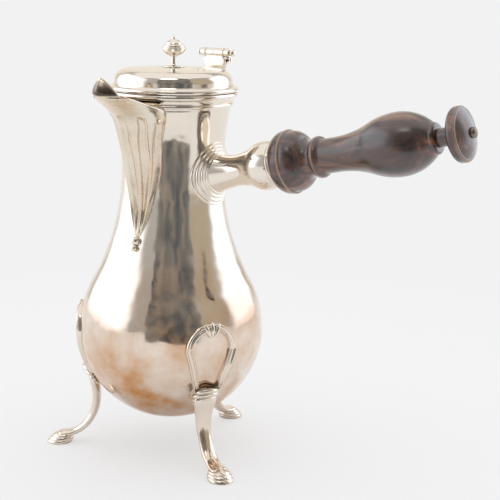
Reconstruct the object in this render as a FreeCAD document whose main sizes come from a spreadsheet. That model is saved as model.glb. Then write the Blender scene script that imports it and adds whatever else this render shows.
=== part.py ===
import FreeCAD, Part
import math
import os
import re

import Sketcher
from FreeCAD import Placement, Rotation, Vector

# A silver coffee pot on three cast feet, with a turned wooden side handle and a hinged lid.
# Row frame: Z is the pot's axis from the table up, the spout points along -Y,
# the handle along +X and the lid hinge stands at +Y. Sizes are in millimetres and degrees.

SIZES = {
    # Vessel raised from sheet: a round belly, an ogee shoulder, a waisted neck and a flared mouth
    "wall": 1.2,
    "belly_radius": 53.0,
    "belly_height": 73.0,
    "shoulder_radius": 55.0,
    "neck_radius": 29.0,
    "neck_height": 166.0,
    "mouth_radius": 32.4,
    "mouth_height": 209.4,
    "solder_gap": 0.05,
    # Strainer holes behind the spout
    "strainer_hole_radius": 1.2,
    "strainer_drop": 31.4,
    "strainer_pitch": 6.0,
    "strainer_spread": 40.0,
    # Moulding round the mouth
    "rim_radius": 36.5,
    "moulding_depth": 8.4,
    "moulding_bead": 2.4,
    "moulding_cove": 2.9,
    # Lid
    "lid_seat_gap": 0.4,
    "lid_radius": 33.2,
    "lid_wall": 1.1,
    "lid_rise": 12.9,
    "lid_shoulder": 6.0,
    "lid_crown": 1.3,
    "lid_flange_depth": 3.7,
    "bezel_clearance": 1.0,
    "bezel_depth": 2.1,
    "bezel_wall": 1.0,
    # Finial
    "finial_height": 17.3,
    "finial_bud_radius": 6.4,
    "finial_bud_height": 10.4,
    "finial_stem_radius": 1.5,
    "finial_screw_radius": 1.4,
    "washer_radius": 6.3,
    "washer_thickness": 0.9,
    "finial_nut_radius": 3.4,
    "finial_nut_height": 2.0,
    # Lid hinge
    "barrel_reach": 43.5,
    "barrel_rise": 19.6,
    "barrel_radius": 2.65,
    "pin_radius": 1.1,
    "pin_clearance": 0.05,
    "pin_head_radius": 1.9,
    "lid_knuckle_length": 12.2,
    "pot_knuckle_length": 3.3,
    "knuckle_gap": 0.3,
    "swing_gap": 0.45,
    "leaf_width": 14.4,
    "strap_width": 10.4,
    "strap_yoke": 4.0,
    "leaf_thickness": 1.6,
    "leaf_foot": 4.2,
    "strap_thickness": 1.8,
    "strap_foot": 5.5,
    # Side handle
    "handle_height": 157.9,
    "handle_tilt": 13.0,
    "escutcheon_radius": 17.2,
    "escutcheon_ledge": 1.9,
    "escutcheon_step": 1.0,
    "socket_base_radius": 10.6,
    "socket_waist_radius": 8.8,
    "socket_waist_at": 44.0,
    "socket_bulb_radius": 13.6,
    "socket_bulb_at": 64.0,
    "socket_bulb_rounding": 12.0,
    "socket_end_radius": 12.7,
    "socket_end_at": 70.6,
    "socket_core_radius": 7.5,
    "ring_width": 3.2,
    "tenon_radius": 11.2,
    "tenon_length": 12.0,
    "rod_radius": 1.9,
    "rod_clearance": 0.1,
    "anchor_thickness": 4.0,
    "grip_face_radius": 15.0,
    "flange_radius": 17.3,
    "flange_length": 8.0,
    "flange_roll": 8.4,
    "cove_radius": 9.4,
    "cove_length": 5.2,
    "bead_length": 6.0,
    "bead_round": 3.3,
    "grip_waist_at": 108.5,
    "grip_belly_radius": 16.9,
    "grip_belly_at": 146.0,
    "grip_belly_rounding": 40.0,
    "grip_end_radius": 8.7,
    "grip_end_at": 168.2,
    "spigot_radius": 4.0,
    "spigot_length": 7.0,
    "stem_radius": 4.9,
    "knob_radius": 14.5,
    "knob_back_at": 176.4,
    "knob_rim_length": 6.6,
    "knob_dome": 3.4,
    "stud_radius": 2.9,
    "stud_height": 2.5,
    # Spout: heights over the mouth, reach out of the wall and half width at each station
    "spout_level_1": -75.9,
    "spout_reach_1": 0.9,
    "spout_half_1": 1.6,
    "spout_level_2": -66.4,
    "spout_reach_2": 4.4,
    "spout_half_2": 7.0,
    "spout_level_3": -43.4,
    "spout_reach_3": 10.5,
    "spout_half_3": 10.6,
    "spout_level_4": -22.4,
    "spout_reach_4": 15.4,
    "spout_half_4": 13.2,
    "spout_level_5": -10.4,
    "spout_reach_5": 18.9,
    "spout_half_5": 15.2,
    "spout_level_6": -3.4,
    "spout_reach_6": 29.6,
    "spout_half_6": 14.2,
    "spout_level_7": 1.1,
    "spout_reach_7": 36.6,
    "spout_half_7": 12.0,
    "spout_level_8": 5.1,
    "spout_reach_8": 37.6,
    "spout_half_8": 10.0,
    "spout_level_9": 10.2,
    "spout_reach_9": 34.6,
    "spout_half_9": 7.0,
    "spout_wall": 1.5,
    "lip_root_level": -8.4,
    "lip_shelf_level": 0.4,
    "lip_shelf_reach": 27.1,
    "lip_turn_reach": 30.5,
    "drop_bead_radius": 2.9,
    "drop_tip_radius": 1.9,
    # Feet
    "foot_azimuth": 60.0,
    "loop_half_width": 14.6,
    "loop_centre_height": 71.5,
    "loop_bottom_height": 45.0,
    "loop_bottom_half": 7.5,
    "loop_band": 4.2,
    "loop_thickness": 2.6,
    "knuckle_height": 43.0,
    "knuckle_half_width": 7.6,
    "ankle_height": 29.0,
    "leg_width": 8.2,
    "leg_thickness": 4.4,
    "toe_reach": 66.6,
    "toe_length": 13.6,
    "toe_width": 14.6,
    "toe_height": 8.8,
    "toe_ridge": 0.9,
}

STRAINER_ROWS = 4
STRAINER_COLUMNS = 5
ESCUTCHEON_STEPS = 4
SPOUT_STATIONS = 9
SPOUT_PARTS = 3
TOE_RIDGES = 4

LEFT = 1
RIGHT = -1

BARREL_HEIGHT = "(mouth_height + barrel_rise)"

doc = FreeCAD.newDocument("coffee_pot")
sheet = doc.addObject("Spreadsheet::Sheet", "Sizes")
for row, (alias, number) in enumerate(SIZES.items(), start=1):
    sheet.set("A%d" % row, alias)
    sheet.set("B%d" % row, str(number))
    sheet.setAlias("B%d" % row, alias)
doc.recompute()

nodes = []


def size(alias):
    """A driving dimension, read back from the sheet."""
    return float(sheet.get(alias))


def tied(text):
    """The formula with every size name tied to its cell."""
    return re.sub(r"[a-z][a-z_0-9]*", lambda word: "Sizes." + word[0] if word[0] in SIZES else word[0], text)


def value(text):
    """What the formula comes to now."""
    return float(sheet.evalExpression(tied(text)))


def keep(piece, label):
    """Name a finished sub-part and put it on the list of nodes."""
    piece.Label = label
    nodes.append(piece)
    return piece


def origin_plane(body, role):
    """The named plane of a body's own origin."""
    return next(plane for plane in body.Origin.OriginFeatures if plane.Role == role)


def arc_between(start, end, radius, side):
    """The short arc from start to end whose centre lies on that side of the way."""
    chord = end - start
    middle = (start + end) * 0.5
    to_left = Vector(-chord.y, chord.x, 0).normalize()
    height = math.sqrt(max(radius**2 - (chord.Length / 2) ** 2, 0.0))
    centre = middle + to_left * (side * height)
    return Part.Arc(start, centre - to_left * (side * radius), end)


def draw_outline(sketch, corners):
    """A closed outline through corners of (across, up) or (across, up, arc radius, side of its centre)."""
    spots = [Vector(value(corner[0]), value(corner[1]), 0) for corner in corners]
    edges = []
    for number, corner in enumerate(corners):
        start = spots[number]
        end = spots[(number + 1) % len(spots)]
        bent = len(corner) == 4
        line = arc_between(start, end, value(corner[2]), corner[3]) if bent else Part.LineSegment(start, end)
        edge = sketch.addGeometry(line, False)
        first = min((1, 2), key=lambda which: sketch.getPoint(edge, which).distanceToPoint(start))
        edges.append((edge, first))
    for number, corner in enumerate(corners):
        edge, first = edges[number]
        before, before_first = edges[number - 1]
        sketch.addConstraint(Sketcher.Constraint("Coincident", before, 3 - before_first, edge, first))
        if corner[0] == "0":
            sketch.addConstraint(Sketcher.Constraint("PointOnObject", edge, first, -2))
        else:
            bind(sketch, Sketcher.Constraint("DistanceX", -1, 1, edge, first, spots[number].x), corner[0])
        bind(sketch, Sketcher.Constraint("DistanceY", -1, 1, edge, first, spots[number].y), corner[1])
        if len(corner) == 4:
            bind(sketch, Sketcher.Constraint("Radius", edge, value(corner[2])), corner[2])


def bind(sketch, constraint, text):
    """Add a measured constraint and tie it to its formula."""
    index = sketch.addConstraint(constraint)
    sketch.setExpression("Constraints[%d]" % index, tied(text))


def new_sketch(body, name, role):
    """An empty sketch on one of the body's origin planes."""
    sketch = body.newObject("Sketcher::SketchObject", name)
    sketch.AttachmentSupport = [(origin_plane(body, role), "")]
    sketch.MapMode = "FlatFace"
    return sketch


def turned(name, corners):
    """A body turned about Z from an outline of (radius, height) corners."""
    body = doc.addObject("PartDesign::Body", name)
    sketch = new_sketch(body, name + "_outline", "XZ_Plane")
    draw_outline(sketch, corners)
    turning = body.newObject("PartDesign::Revolution", name + "_turning")
    turning.Profile = sketch
    turning.ReferenceAxis = (sketch, ["V_Axis"])
    turning.Angle = 360
    return body


def on_handle(piece):
    """Lay a piece that was made along Z on the handle's rising axis."""
    piece.Placement = Placement(Vector(0, 0, size("handle_height")), Rotation(Vector(0, 1, 0), 90))
    piece.setExpression("Placement.Base.z", tied("handle_height"))
    piece.setExpression("Placement.Rotation.Angle", tied("(90 - handle_tilt) * 1 deg"))
    return piece


def side_plate(body, name, corners, width):
    """Pad an outline of (Y, height) corners to both sides of the hinge's middle plane."""
    sketch = new_sketch(body, name + "_outline", "YZ_Plane")
    draw_outline(sketch, corners)
    return centred(body, "PartDesign::Pad", name, sketch, width)


def side_disc(body, name, kind, radius, width):
    """Pad or pocket a disc round the hinge pin's axis, to both sides of the middle plane."""
    sketch = new_sketch(body, name + "_outline", "YZ_Plane")
    centre = Vector(size("barrel_reach"), value(BARREL_HEIGHT), 0)
    circle = sketch.addGeometry(Part.Circle(centre, Vector(0, 0, 1), value(radius)), False)
    bind(sketch, Sketcher.Constraint("DistanceX", -1, 1, circle, 3, centre.x), "barrel_reach")
    bind(sketch, Sketcher.Constraint("DistanceY", -1, 1, circle, 3, centre.y), BARREL_HEIGHT)
    bind(sketch, Sketcher.Constraint("Radius", circle, value(radius)), radius)
    return centred(body, kind, name, sketch, width)


def centred(body, kind, name, sketch, width):
    """Pad or pocket a sketch by a width that is centred on the sketch's plane."""
    feature = body.newObject(kind, name)
    feature.Profile = sketch
    feature.Midplane = True
    feature.setExpression("Length", tied(width))
    return feature


def cut(base, tool, name):
    """One piece less another."""
    result = doc.addObject("Part::Cut", name)
    result.Base = base
    result.Tool = tool
    return result


def drum(name, radius, bottom, height):
    """An upright cylinder on the pot's axis."""
    piece = doc.addObject("Part::Cylinder", name)
    piece.setExpression("Radius", tied(radius))
    piece.setExpression("Height", tied(height))
    piece.setExpression("Placement.Base.z", tied(bottom))
    return piece


def free_form(name, shape):
    """A piece whose shape is worked out below."""
    piece = doc.addObject("Part::Feature", name)
    piece.Shape = shape
    return piece


def ogee(waist, waist_at, bulge, bulge_at, rounding, outward):
    """Where a bulge's arc runs over into its waist's arc, and the waist arc's radius."""
    drop = "(%s - %s)" % (bulge, waist)
    rise = "(%s - %s)" % (waist_at, bulge_at)
    span = "((%s^2 + %s^2) / (2 * %s))" % (drop, rise, drop)
    reach = "(%s + %s)" % (rounding, outward)
    across = "%s - %s + %s * (%s - %s) / %s" % (bulge, rounding, reach, span, drop, span)
    up = "%s + %s * %s / %s" % (bulge_at, reach, rise, span)
    return across, up, "%s - %s - (%s)" % (span, rounding, outward)


def vessel_side(outward):
    """The vessel's side from its foot to its moulding, set off outwards by a formula."""
    across, up, waist_arc = ogee(
        "neck_radius", "neck_height", "belly_radius", "belly_height", "shoulder_radius", outward
    )
    flare = "(mouth_radius - neck_radius)"
    climb = "(mouth_height - moulding_depth - neck_height)"
    flare_arc = "((%s^2 + %s^2) / (2 * %s))" % (flare, climb, flare)
    flare_end = "neck_radius + %s - sqrt((%s - (%s))^2 - %s^2)" % (flare_arc, flare_arc, outward, climb)
    return [
        ("0", "belly_height - belly_radius - (%s)" % outward, "belly_radius + (%s)" % outward, LEFT),
        ("belly_radius + (%s)" % outward, "belly_height", "shoulder_radius + (%s)" % outward, LEFT),
        (across, up, waist_arc, RIGHT),
        ("neck_radius + (%s)" % outward, "neck_height", "%s - (%s)" % (flare_arc, outward), RIGHT),
        (flare_end, "mouth_height - moulding_depth"),
    ]


def backwards(corners):
    """The same side walked the other way."""
    walked = []
    for number in range(len(corners) - 1, -1, -1):
        arc = corners[number - 1][2:] if number else ()
        turn = (arc[0], -arc[1]) if arc else ()
        walked.append(corners[number][:2] + turn)
    return walked


def vessel_filled(name, outward):
    """The vessel as if solid, grown by a formula, for fitting other pieces to its wall."""
    top = [("mouth_radius + (%s)" % outward, "mouth_height"), ("0", "mouth_height")]
    return turned(name, vessel_side(outward) + top)


def vessel_radius(height):
    """The outer radius of the vessel's wall at a height."""
    belly, belly_at = size("belly_radius"), size("belly_height")
    neck, neck_at = size("neck_radius"), size("neck_height")
    rounding = size("shoulder_radius")
    if height <= belly_at:
        return math.sqrt(belly**2 - (belly_at - height) ** 2)
    span = ((belly - neck) ** 2 + (neck_at - belly_at) ** 2) / (2 * (belly - neck))
    if height <= belly_at + rounding * (neck_at - belly_at) / span:
        return belly - rounding + math.sqrt(rounding**2 - (height - belly_at) ** 2)
    if height <= neck_at:
        waist = span - rounding
        return neck + waist - math.sqrt(waist**2 - (neck_at - height) ** 2)
    climb = size("mouth_height") - size("moulding_depth") - neck_at
    flare = size("mouth_radius") - neck
    arc = (flare**2 + climb**2) / (2 * flare)
    return neck + arc - math.sqrt(arc**2 - min(height - neck_at, climb) ** 2)


# Vessel with its strainer holes
vessel = turned(
    "body",
    vessel_side("0")
    + [("mouth_radius", "mouth_height"), ("mouth_radius - wall", "mouth_height")]
    + backwards(vessel_side("-wall")),
)
doc.recompute()
whole_volume = vessel.Shape.Volume
holes = new_sketch(vessel, "strainer_column", "XZ_Plane")
holes.AttachmentOffset = Placement(Vector(), Rotation(Vector(0, 1, 0), 0))
holes.setExpression("AttachmentOffset.Rotation.Angle", tied("-strainer_spread / 2 * 1 deg"))
for row in range(STRAINER_ROWS):
    height = "mouth_height - strainer_drop + %d * strainer_pitch" % row
    hole = holes.addGeometry(
        Part.Circle(Vector(0, value(height), 0), Vector(0, 0, 1), size("strainer_hole_radius")), False
    )
    holes.addConstraint(Sketcher.Constraint("PointOnObject", hole, 3, -2))
    bind(holes, Sketcher.Constraint("DistanceY", -1, 1, hole, 3, value(height)), height)
    bind(holes, Sketcher.Constraint("Radius", hole, size("strainer_hole_radius")), "strainer_hole_radius")
strainer = vessel.newObject("PartDesign::Pocket", "strainer_first")
strainer.Profile = holes
strainer.Type = "ThroughAll"
strainer.Reversed = True
doc.recompute()
fan = vessel.newObject("PartDesign::PolarPattern", "strainer_fan")
fan.Originals = [strainer]
fan.Axis = (origin_plane(vessel, "Z_Axis"), [""])
fan.setExpression("Angle", tied("strainer_spread * 1 deg"))
fan.Occurrences = STRAINER_COLUMNS
vessel.Tip = fan
keep(vessel, "body")

# Filled copies of the vessel that other pieces are fitted against
seated = vessel_filled("vessel_for_seats", "solder_gap")
looped = vessel_filled("vessel_for_loops", "solder_gap + loop_thickness")

# Moulding soldered round the mouth: a bead at the rim, a cove and a lower bead
MOULDING_TOP = "mouth_height"
COVE_TOP = "mouth_height - moulding_bead"
COVE_FOOT = "mouth_height - moulding_bead - moulding_cove"
MOULDING_FOOT = "mouth_height - moulding_depth"
moulding = turned(
    "mouth_moulding",
    [
        ("mouth_radius + solder_gap", MOULDING_FOOT),
        ("mouth_radius + 0.6", MOULDING_FOOT),
        ("mouth_radius + 1.0", MOULDING_FOOT + " + 0.8", "moulding_bead * 0.55", LEFT),
        ("mouth_radius + 1.0", COVE_FOOT),
        ("mouth_radius + 1.4", COVE_FOOT, "moulding_cove", RIGHT),
        ("rim_radius - 0.7", COVE_TOP),
        ("rim_radius - 0.5", COVE_TOP, "moulding_bead * 0.7", LEFT),
        ("rim_radius - 0.5", MOULDING_TOP),
        ("mouth_radius + solder_gap", MOULDING_TOP),
    ],
)
keep(moulding, "mouth_moulding")

# Lid: a flat-crowned cap in a moulded flange, with an inner collar that drops into the mouth
LID_FOOT = "(mouth_height + lid_seat_gap)"
LID_TOP = "(mouth_height + lid_seat_gap + lid_rise)"
CROWN_EDGE = "(lid_radius - lid_shoulder)"
crown_arc = "((%s^2 + lid_crown^2) / (2 * lid_crown))" % CROWN_EDGE
crown_shelf = LID_TOP + " - lid_crown"
crown_inside = "%s - lid_wall - (%s - sqrt(%s^2 - finial_nut_radius^2))" % (LID_TOP, crown_arc, crown_arc)
lid_dome = turned(
    "lid_dome",
    [
        ("lid_radius - lid_wall", LID_FOOT),
        ("lid_radius", LID_FOOT),
        ("lid_radius", crown_shelf + " - lid_shoulder", "lid_shoulder", LEFT),
        (CROWN_EDGE, crown_shelf, crown_arc, LEFT),
        ("finial_screw_radius + solder_gap", LID_TOP),
        ("finial_screw_radius + solder_gap", crown_inside),
        ("finial_nut_radius", crown_inside, crown_arc + " - lid_wall", RIGHT),
        (CROWN_EDGE, crown_shelf + " - lid_wall", "lid_shoulder - lid_wall", RIGHT),
        ("lid_radius - lid_wall", crown_shelf + " - lid_shoulder"),
    ],
)
keep(lid_dome, "lid_dome")

FLANGE_STEP = LID_FOOT + " + lid_flange_depth * 0.62"
lid_flange = turned(
    "lid_flange",
    [
        ("lid_radius + solder_gap", LID_FOOT),
        ("rim_radius - 0.5", LID_FOOT, "lid_flange_depth * 0.4", LEFT),
        ("rim_radius - 0.5", FLANGE_STEP),
        ("rim_radius - 1.6", FLANGE_STEP, "lid_flange_depth", RIGHT),
        ("lid_radius + 0.6", LID_FOOT + " + lid_flange_depth"),
        ("lid_radius + solder_gap", LID_FOOT + " + lid_flange_depth"),
    ],
)
keep(lid_flange, "lid_flange")

BEZEL_RADIUS = "(mouth_radius - wall - bezel_clearance)"
bezel_top = LID_FOOT + " + bezel_wall"
lid_bezel = turned(
    "lid_bezel",
    [
        (BEZEL_RADIUS + " - bezel_wall", "mouth_height - bezel_depth"),
        (BEZEL_RADIUS, "mouth_height - bezel_depth"),
        (BEZEL_RADIUS, LID_FOOT),
        ("lid_radius - lid_wall - solder_gap", LID_FOOT),
        ("lid_radius - lid_wall - solder_gap", bezel_top),
        (BEZEL_RADIUS + " - bezel_wall", bezel_top),
    ],
)
keep(lid_bezel, "lid_bezel")

# Finial: a stepped bud on a thin stem, screwed through the lid into a nut
FINIAL_FOOT = "(%s + solder_gap)" % LID_TOP
WASHER_TOP = "(%s + solder_gap + washer_thickness)" % LID_TOP
BUD = "(%s + finial_bud_height)" % LID_TOP
finial_tip = LID_TOP + " + finial_height"
washer = turned(
    "finial_washer",
    [
        ("finial_screw_radius + solder_gap", FINIAL_FOOT),
        ("washer_radius", FINIAL_FOOT),
        ("washer_radius - 0.3", FINIAL_FOOT + " + 0.5", "washer_radius", RIGHT),
        ("finial_stem_radius + 0.9", WASHER_TOP),
        ("finial_screw_radius + solder_gap", WASHER_TOP),
    ],
)
keep(washer, "finial_washer")

finial = turned(
    "finial",
    [
        ("0", crown_inside + " - finial_nut_height"),
        ("finial_screw_radius", crown_inside + " - finial_nut_height"),
        ("finial_screw_radius", WASHER_TOP + " + solder_gap"),
        ("finial_stem_radius + 0.6", WASHER_TOP + " + solder_gap", "finial_bud_height", RIGHT),
        ("finial_stem_radius", BUD + " - finial_bud_height * 0.55", "finial_bud_height", RIGHT),
        ("finial_stem_radius + 0.9", BUD + " - finial_bud_height * 0.35"),
        ("finial_bud_radius - 0.6", BUD + " - 0.9", "1.3", LEFT),
        ("finial_bud_radius - 1.5", BUD + " + 1.5"),
        ("finial_bud_radius * 0.72", BUD + " + 1.6", "1.4", LEFT),
        ("finial_bud_radius * 0.5", BUD + " + 3.0"),
        ("finial_bud_radius * 0.46", BUD + " + 3.1", "finial_bud_radius", RIGHT),
        ("finial_stem_radius * 0.2", finial_tip),
        ("0", finial_tip),
    ],
)
keep(finial, "finial")

finial_nut = turned(
    "finial_nut",
    [
        ("finial_screw_radius + solder_gap", crown_inside + " - solder_gap - finial_nut_height"),
        ("finial_nut_radius", crown_inside + " - solder_gap - finial_nut_height"),
        ("finial_nut_radius", crown_inside + " - solder_gap"),
        ("finial_screw_radius + solder_gap", crown_inside + " - solder_gap"),
    ],
)
keep(finial_nut, "finial_nut")

# Lid leaf: a foot on the lid's wall, an arm out to the barrel, a rising plate and its knuckle
LEAF_OUTSIDE = "(barrel_reach - 0.4)"
LEAF_INSIDE = "(barrel_reach - 0.4 - leaf_thickness)"
LEAF_FOOT = "(%s + lid_flange_depth + solder_gap)" % LID_FOOT
PLATE_TOP = "(%s - barrel_radius - swing_gap)" % BARREL_HEIGHT
POT_SIDE_LENGTH = "(lid_knuckle_length + 2 * knuckle_gap + 2 * pot_knuckle_length)"
leaf = doc.addObject("PartDesign::Body", "leaf_blank")
side_plate(
    leaf,
    "leaf_arm",
    [
        ("lid_radius - lid_wall", LEAF_FOOT),
        (LEAF_OUTSIDE + " - leaf_thickness", LEAF_FOOT),
        (LEAF_OUTSIDE, LEAF_FOOT + " + leaf_thickness"),
        (LEAF_OUTSIDE, PLATE_TOP),
        (LEAF_INSIDE, PLATE_TOP),
        (LEAF_INSIDE, LEAF_FOOT + " + leaf_foot + 1", "leaf_foot / 2", LEFT),
        (LEAF_INSIDE + " - leaf_foot / 2", LEAF_FOOT + " + leaf_foot - leaf_thickness"),
        ("lid_radius - lid_wall", LEAF_FOOT + " + leaf_foot - leaf_thickness"),
    ],
    "leaf_width",
)
side_plate(
    leaf,
    "leaf_neck",
    [
        (LEAF_INSIDE, PLATE_TOP + " - 1"),
        (LEAF_OUTSIDE, PLATE_TOP + " - 1"),
        (LEAF_OUTSIDE, BARREL_HEIGHT),
        (LEAF_INSIDE, BARREL_HEIGHT),
    ],
    "lid_knuckle_length",
)
side_disc(leaf, "leaf_knuckle", "PartDesign::Pad", "barrel_radius", "lid_knuckle_length")
side_disc(
    leaf, "leaf_bore", "PartDesign::Pocket", "pin_radius + pin_clearance", "lid_knuckle_length + leaf_width"
)
lid_wall_drum = drum("lid_wall_drum", "lid_radius + solder_gap", LID_FOOT, "lid_rise")
keep(cut(leaf, lid_wall_drum, "leaf_fitted"), "lid_leaf")

# Hinge strap: a bracket on the mouth moulding that rises behind the lid to two knuckles
STRAP_INSIDE = "(barrel_reach + 0.7)"
STRAP_OUTSIDE = "(barrel_reach + 0.7 + strap_thickness)"
STRAP_SHELF = "(mouth_height - 0.6)"
strap = doc.addObject("PartDesign::Body", "strap_blank")
side_plate(
    strap,
    "strap_bracket",
    [
        ("mouth_radius", STRAP_SHELF + " - strap_foot"),
        ("rim_radius + 2", STRAP_SHELF + " - strap_foot", "strap_foot * 1.6", LEFT),
        (STRAP_OUTSIDE, STRAP_SHELF),
        (STRAP_OUTSIDE, PLATE_TOP),
        (STRAP_INSIDE, PLATE_TOP),
        (STRAP_INSIDE, STRAP_SHELF),
        ("mouth_radius", STRAP_SHELF),
    ],
    "strap_width",
)
side_plate(
    strap,
    "strap_fork",
    [
        (STRAP_INSIDE, PLATE_TOP + " - strap_yoke"),
        (STRAP_OUTSIDE, PLATE_TOP + " - strap_yoke"),
        (STRAP_OUTSIDE, BARREL_HEIGHT),
        (STRAP_INSIDE, BARREL_HEIGHT),
    ],
    POT_SIDE_LENGTH,
)
side_disc(strap, "strap_knuckles", "PartDesign::Pad", "barrel_radius", POT_SIDE_LENGTH)
side_disc(
    strap,
    "strap_fork_gap",
    "PartDesign::Pocket",
    "barrel_radius + swing_gap",
    "lid_knuckle_length + 2 * knuckle_gap",
)
side_disc(strap, "strap_bore", "PartDesign::Pocket", "pin_radius + solder_gap", POT_SIDE_LENGTH + " + 2")
rim_drum = drum("rim_drum", "rim_radius + solder_gap", MOULDING_FOOT, "moulding_depth")
keep(cut(strap, rim_drum, "strap_fitted"), "hinge_strap")

# Hinge pin with a ball at each end, along X through both knuckles
PIN_END = "(%s / 2 + solder_gap)" % POT_SIDE_LENGTH
pin_parts = []
shank = doc.addObject("Part::Cylinder", "pin_shank")
shank.setExpression("Radius", tied("pin_radius"))
shank.setExpression("Height", tied("2 * %s + pin_head_radius" % PIN_END))
shank.Placement = Placement(Vector(), Rotation(Vector(0, 1, 0), 90))
shank.setExpression("Placement.Base.x", tied("-%s - pin_head_radius / 2" % PIN_END))
pin_parts.append(shank)
for end in (LEFT, RIGHT):
    ball = doc.addObject("Part::Sphere", "pin_ball_%d" % len(pin_parts))
    ball.setExpression("Radius", tied("pin_head_radius"))
    ball.setExpression("Placement.Base.x", tied("%d * (%s + pin_head_radius * 0.83)" % (end, PIN_END)))
    pin_parts.append(ball)
for piece in pin_parts:
    piece.setExpression("Placement.Base.y", tied("barrel_reach"))
    piece.setExpression("Placement.Base.z", tied(BARREL_HEIGHT))
pin = doc.addObject("Part::MultiFuse", "pin_fused")
pin.Shapes = pin_parts
pin_heads = doc.addObject("Part::Box", "pin_between")
pin_heads.setExpression("Length", tied("2 * " + PIN_END))
pin_heads.setExpression("Width", tied("4 * pin_head_radius"))
pin_heads.setExpression("Height", tied("4 * pin_head_radius"))
pin_heads.setExpression("Placement.Base.x", tied("-" + PIN_END))
pin_heads.setExpression("Placement.Base.y", tied("barrel_reach - 2 * pin_head_radius"))
pin_heads.setExpression("Placement.Base.z", tied(BARREL_HEIGHT + " - 2 * pin_head_radius"))
pin_gap = cut(pin_heads, shank, "pin_between_less_shank")
keep(cut(pin, pin_gap, "pin_trimmed"), "hinge_pin")

# Stepped escutcheon that hugs the neck round the handle's root
steps = []
for step in range(ESCUTCHEON_STEPS):
    disc = doc.addObject("Part::Cylinder", "escutcheon_disc_%d" % step)
    disc.setExpression("Radius", tied("escutcheon_radius - %d * escutcheon_ledge" % step))
    disc.setExpression("Height", tied("2 * neck_radius"))
    on_handle(disc)
    skin = vessel_filled("escutcheon_skin_%d" % step, "solder_gap + %d * escutcheon_step" % (step + 1))
    layer = doc.addObject("Part::Common", "escutcheon_layer_%d" % step)
    layer.Base = disc
    layer.Tool = skin
    steps.append(layer)
stack = doc.addObject("Part::MultiFuse", "escutcheon_stack")
stack.Shapes = steps
keep(cut(stack, seated, "escutcheon_fitted"), "handle_escutcheon")

# Hollow silver socket, from the escutcheon to the ring that meets the wood
RING_START = "(socket_end_at + solder_gap)"
GRIP_START = "(socket_end_at + ring_width + 2 * solder_gap)"
TENON_START = "(%s - tenon_length)" % GRIP_START
bulb_across, bulb_up, waist_arc = ogee(
    "socket_waist_radius", "socket_waist_at", "socket_bulb_radius", "socket_bulb_at", "socket_bulb_rounding", "0"
)
base_drop = "(socket_base_radius - socket_waist_radius)"
base_arc = "(%s^2 + (socket_waist_at - neck_radius)^2) / (2 * %s)" % (base_drop, base_drop)
end_drop = "(socket_bulb_radius - socket_end_radius)"
end_arc = "(%s^2 + (socket_end_at - socket_bulb_at)^2) / (2 * %s)" % (end_drop, end_drop)
socket = turned(
    "socket_blank",
    [
        ("socket_core_radius", "neck_radius"),
        ("socket_base_radius", "neck_radius", base_arc, RIGHT),
        ("socket_waist_radius", "socket_waist_at", waist_arc, RIGHT),
        (bulb_across, bulb_up, "socket_bulb_rounding", LEFT),
        ("socket_bulb_radius", "socket_bulb_at", end_arc, LEFT),
        ("socket_end_radius", "socket_end_at"),
        ("tenon_radius + solder_gap", "socket_end_at"),
        ("tenon_radius + solder_gap", TENON_START + " - 1"),
        ("socket_core_radius", "socket_waist_at + anchor_thickness + 2"),
    ],
)
on_handle(socket)
crest = vessel_filled("vessel_for_socket", "2 * solder_gap + %d * escutcheon_step" % ESCUTCHEON_STEPS)
keep(cut(socket, crest, "socket_fitted"), "handle_socket")

anchor = turned(
    "handle_anchor",
    [
        ("rod_radius + solder_gap", "socket_waist_at"),
        ("socket_core_radius - solder_gap", "socket_waist_at"),
        ("socket_core_radius - solder_gap", "socket_waist_at + anchor_thickness"),
        ("rod_radius + solder_gap", "socket_waist_at + anchor_thickness"),
    ],
)
keep(on_handle(anchor), "handle_anchor")

REED = "ring_width / 2 * 0.62"
ring = turned(
    "handle_ring",
    [
        ("tenon_radius + solder_gap", RING_START),
        ("socket_end_radius", RING_START, REED, LEFT),
        ("socket_end_radius", RING_START + " + ring_width / 2", REED, LEFT),
        ("socket_end_radius", RING_START + " + ring_width"),
        ("tenon_radius + solder_gap", RING_START + " + ring_width"),
    ],
)
keep(on_handle(ring), "handle_ring")

# Turned wooden grip: tenon, flange with a worn ridge, cove, bead and a long pear
FLANGE_END = "(%s + flange_length)" % GRIP_START
ROLL_END = "(%s + flange_roll)" % FLANGE_END
COVE_END = "(%s + cove_length)" % ROLL_END
BEAD_END = "(%s + bead_length)" % COVE_END
BORE = "(rod_radius + rod_clearance)"
pear_across, pear_up, pear_waist = ogee(
    "cove_radius", "grip_waist_at", "grip_belly_radius", "grip_belly_at", "grip_belly_rounding", "0"
)
pear_drop = "(grip_belly_radius - grip_end_radius)"
pear_arc = "(%s^2 + (grip_end_at - 1.4 - grip_belly_at)^2) / (2 * %s)" % (pear_drop, pear_drop)
grip = turned(
    "handle_grip",
    [
        (BORE, TENON_START),
        ("tenon_radius", TENON_START),
        ("tenon_radius", GRIP_START),
        ("grip_face_radius", GRIP_START, "flange_length", LEFT),
        ("flange_radius", FLANGE_END + " - 1.6"),
        ("flange_radius + 0.3", FLANGE_END + " - 0.8"),
        ("flange_radius - 0.8", FLANGE_END, "flange_roll", LEFT),
        ("cove_radius + 2.6", ROLL_END, "cove_length", RIGHT),
        ("cove_radius", COVE_END, "bead_round", LEFT),
        ("cove_radius", BEAD_END),
        ("cove_radius", "grip_waist_at", pear_waist, RIGHT),
        (pear_across, pear_up, "grip_belly_rounding", LEFT),
        ("grip_belly_radius", "grip_belly_at", pear_arc, LEFT),
        ("grip_end_radius", "grip_end_at - 1.4"),
        ("grip_end_radius + 0.3", "grip_end_at"),
        ("spigot_radius + solder_gap", "grip_end_at"),
        ("spigot_radius + solder_gap", "grip_end_at - spigot_length - solder_gap"),
        (BORE, "grip_end_at - spigot_length - solder_gap"),
    ],
)
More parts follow.
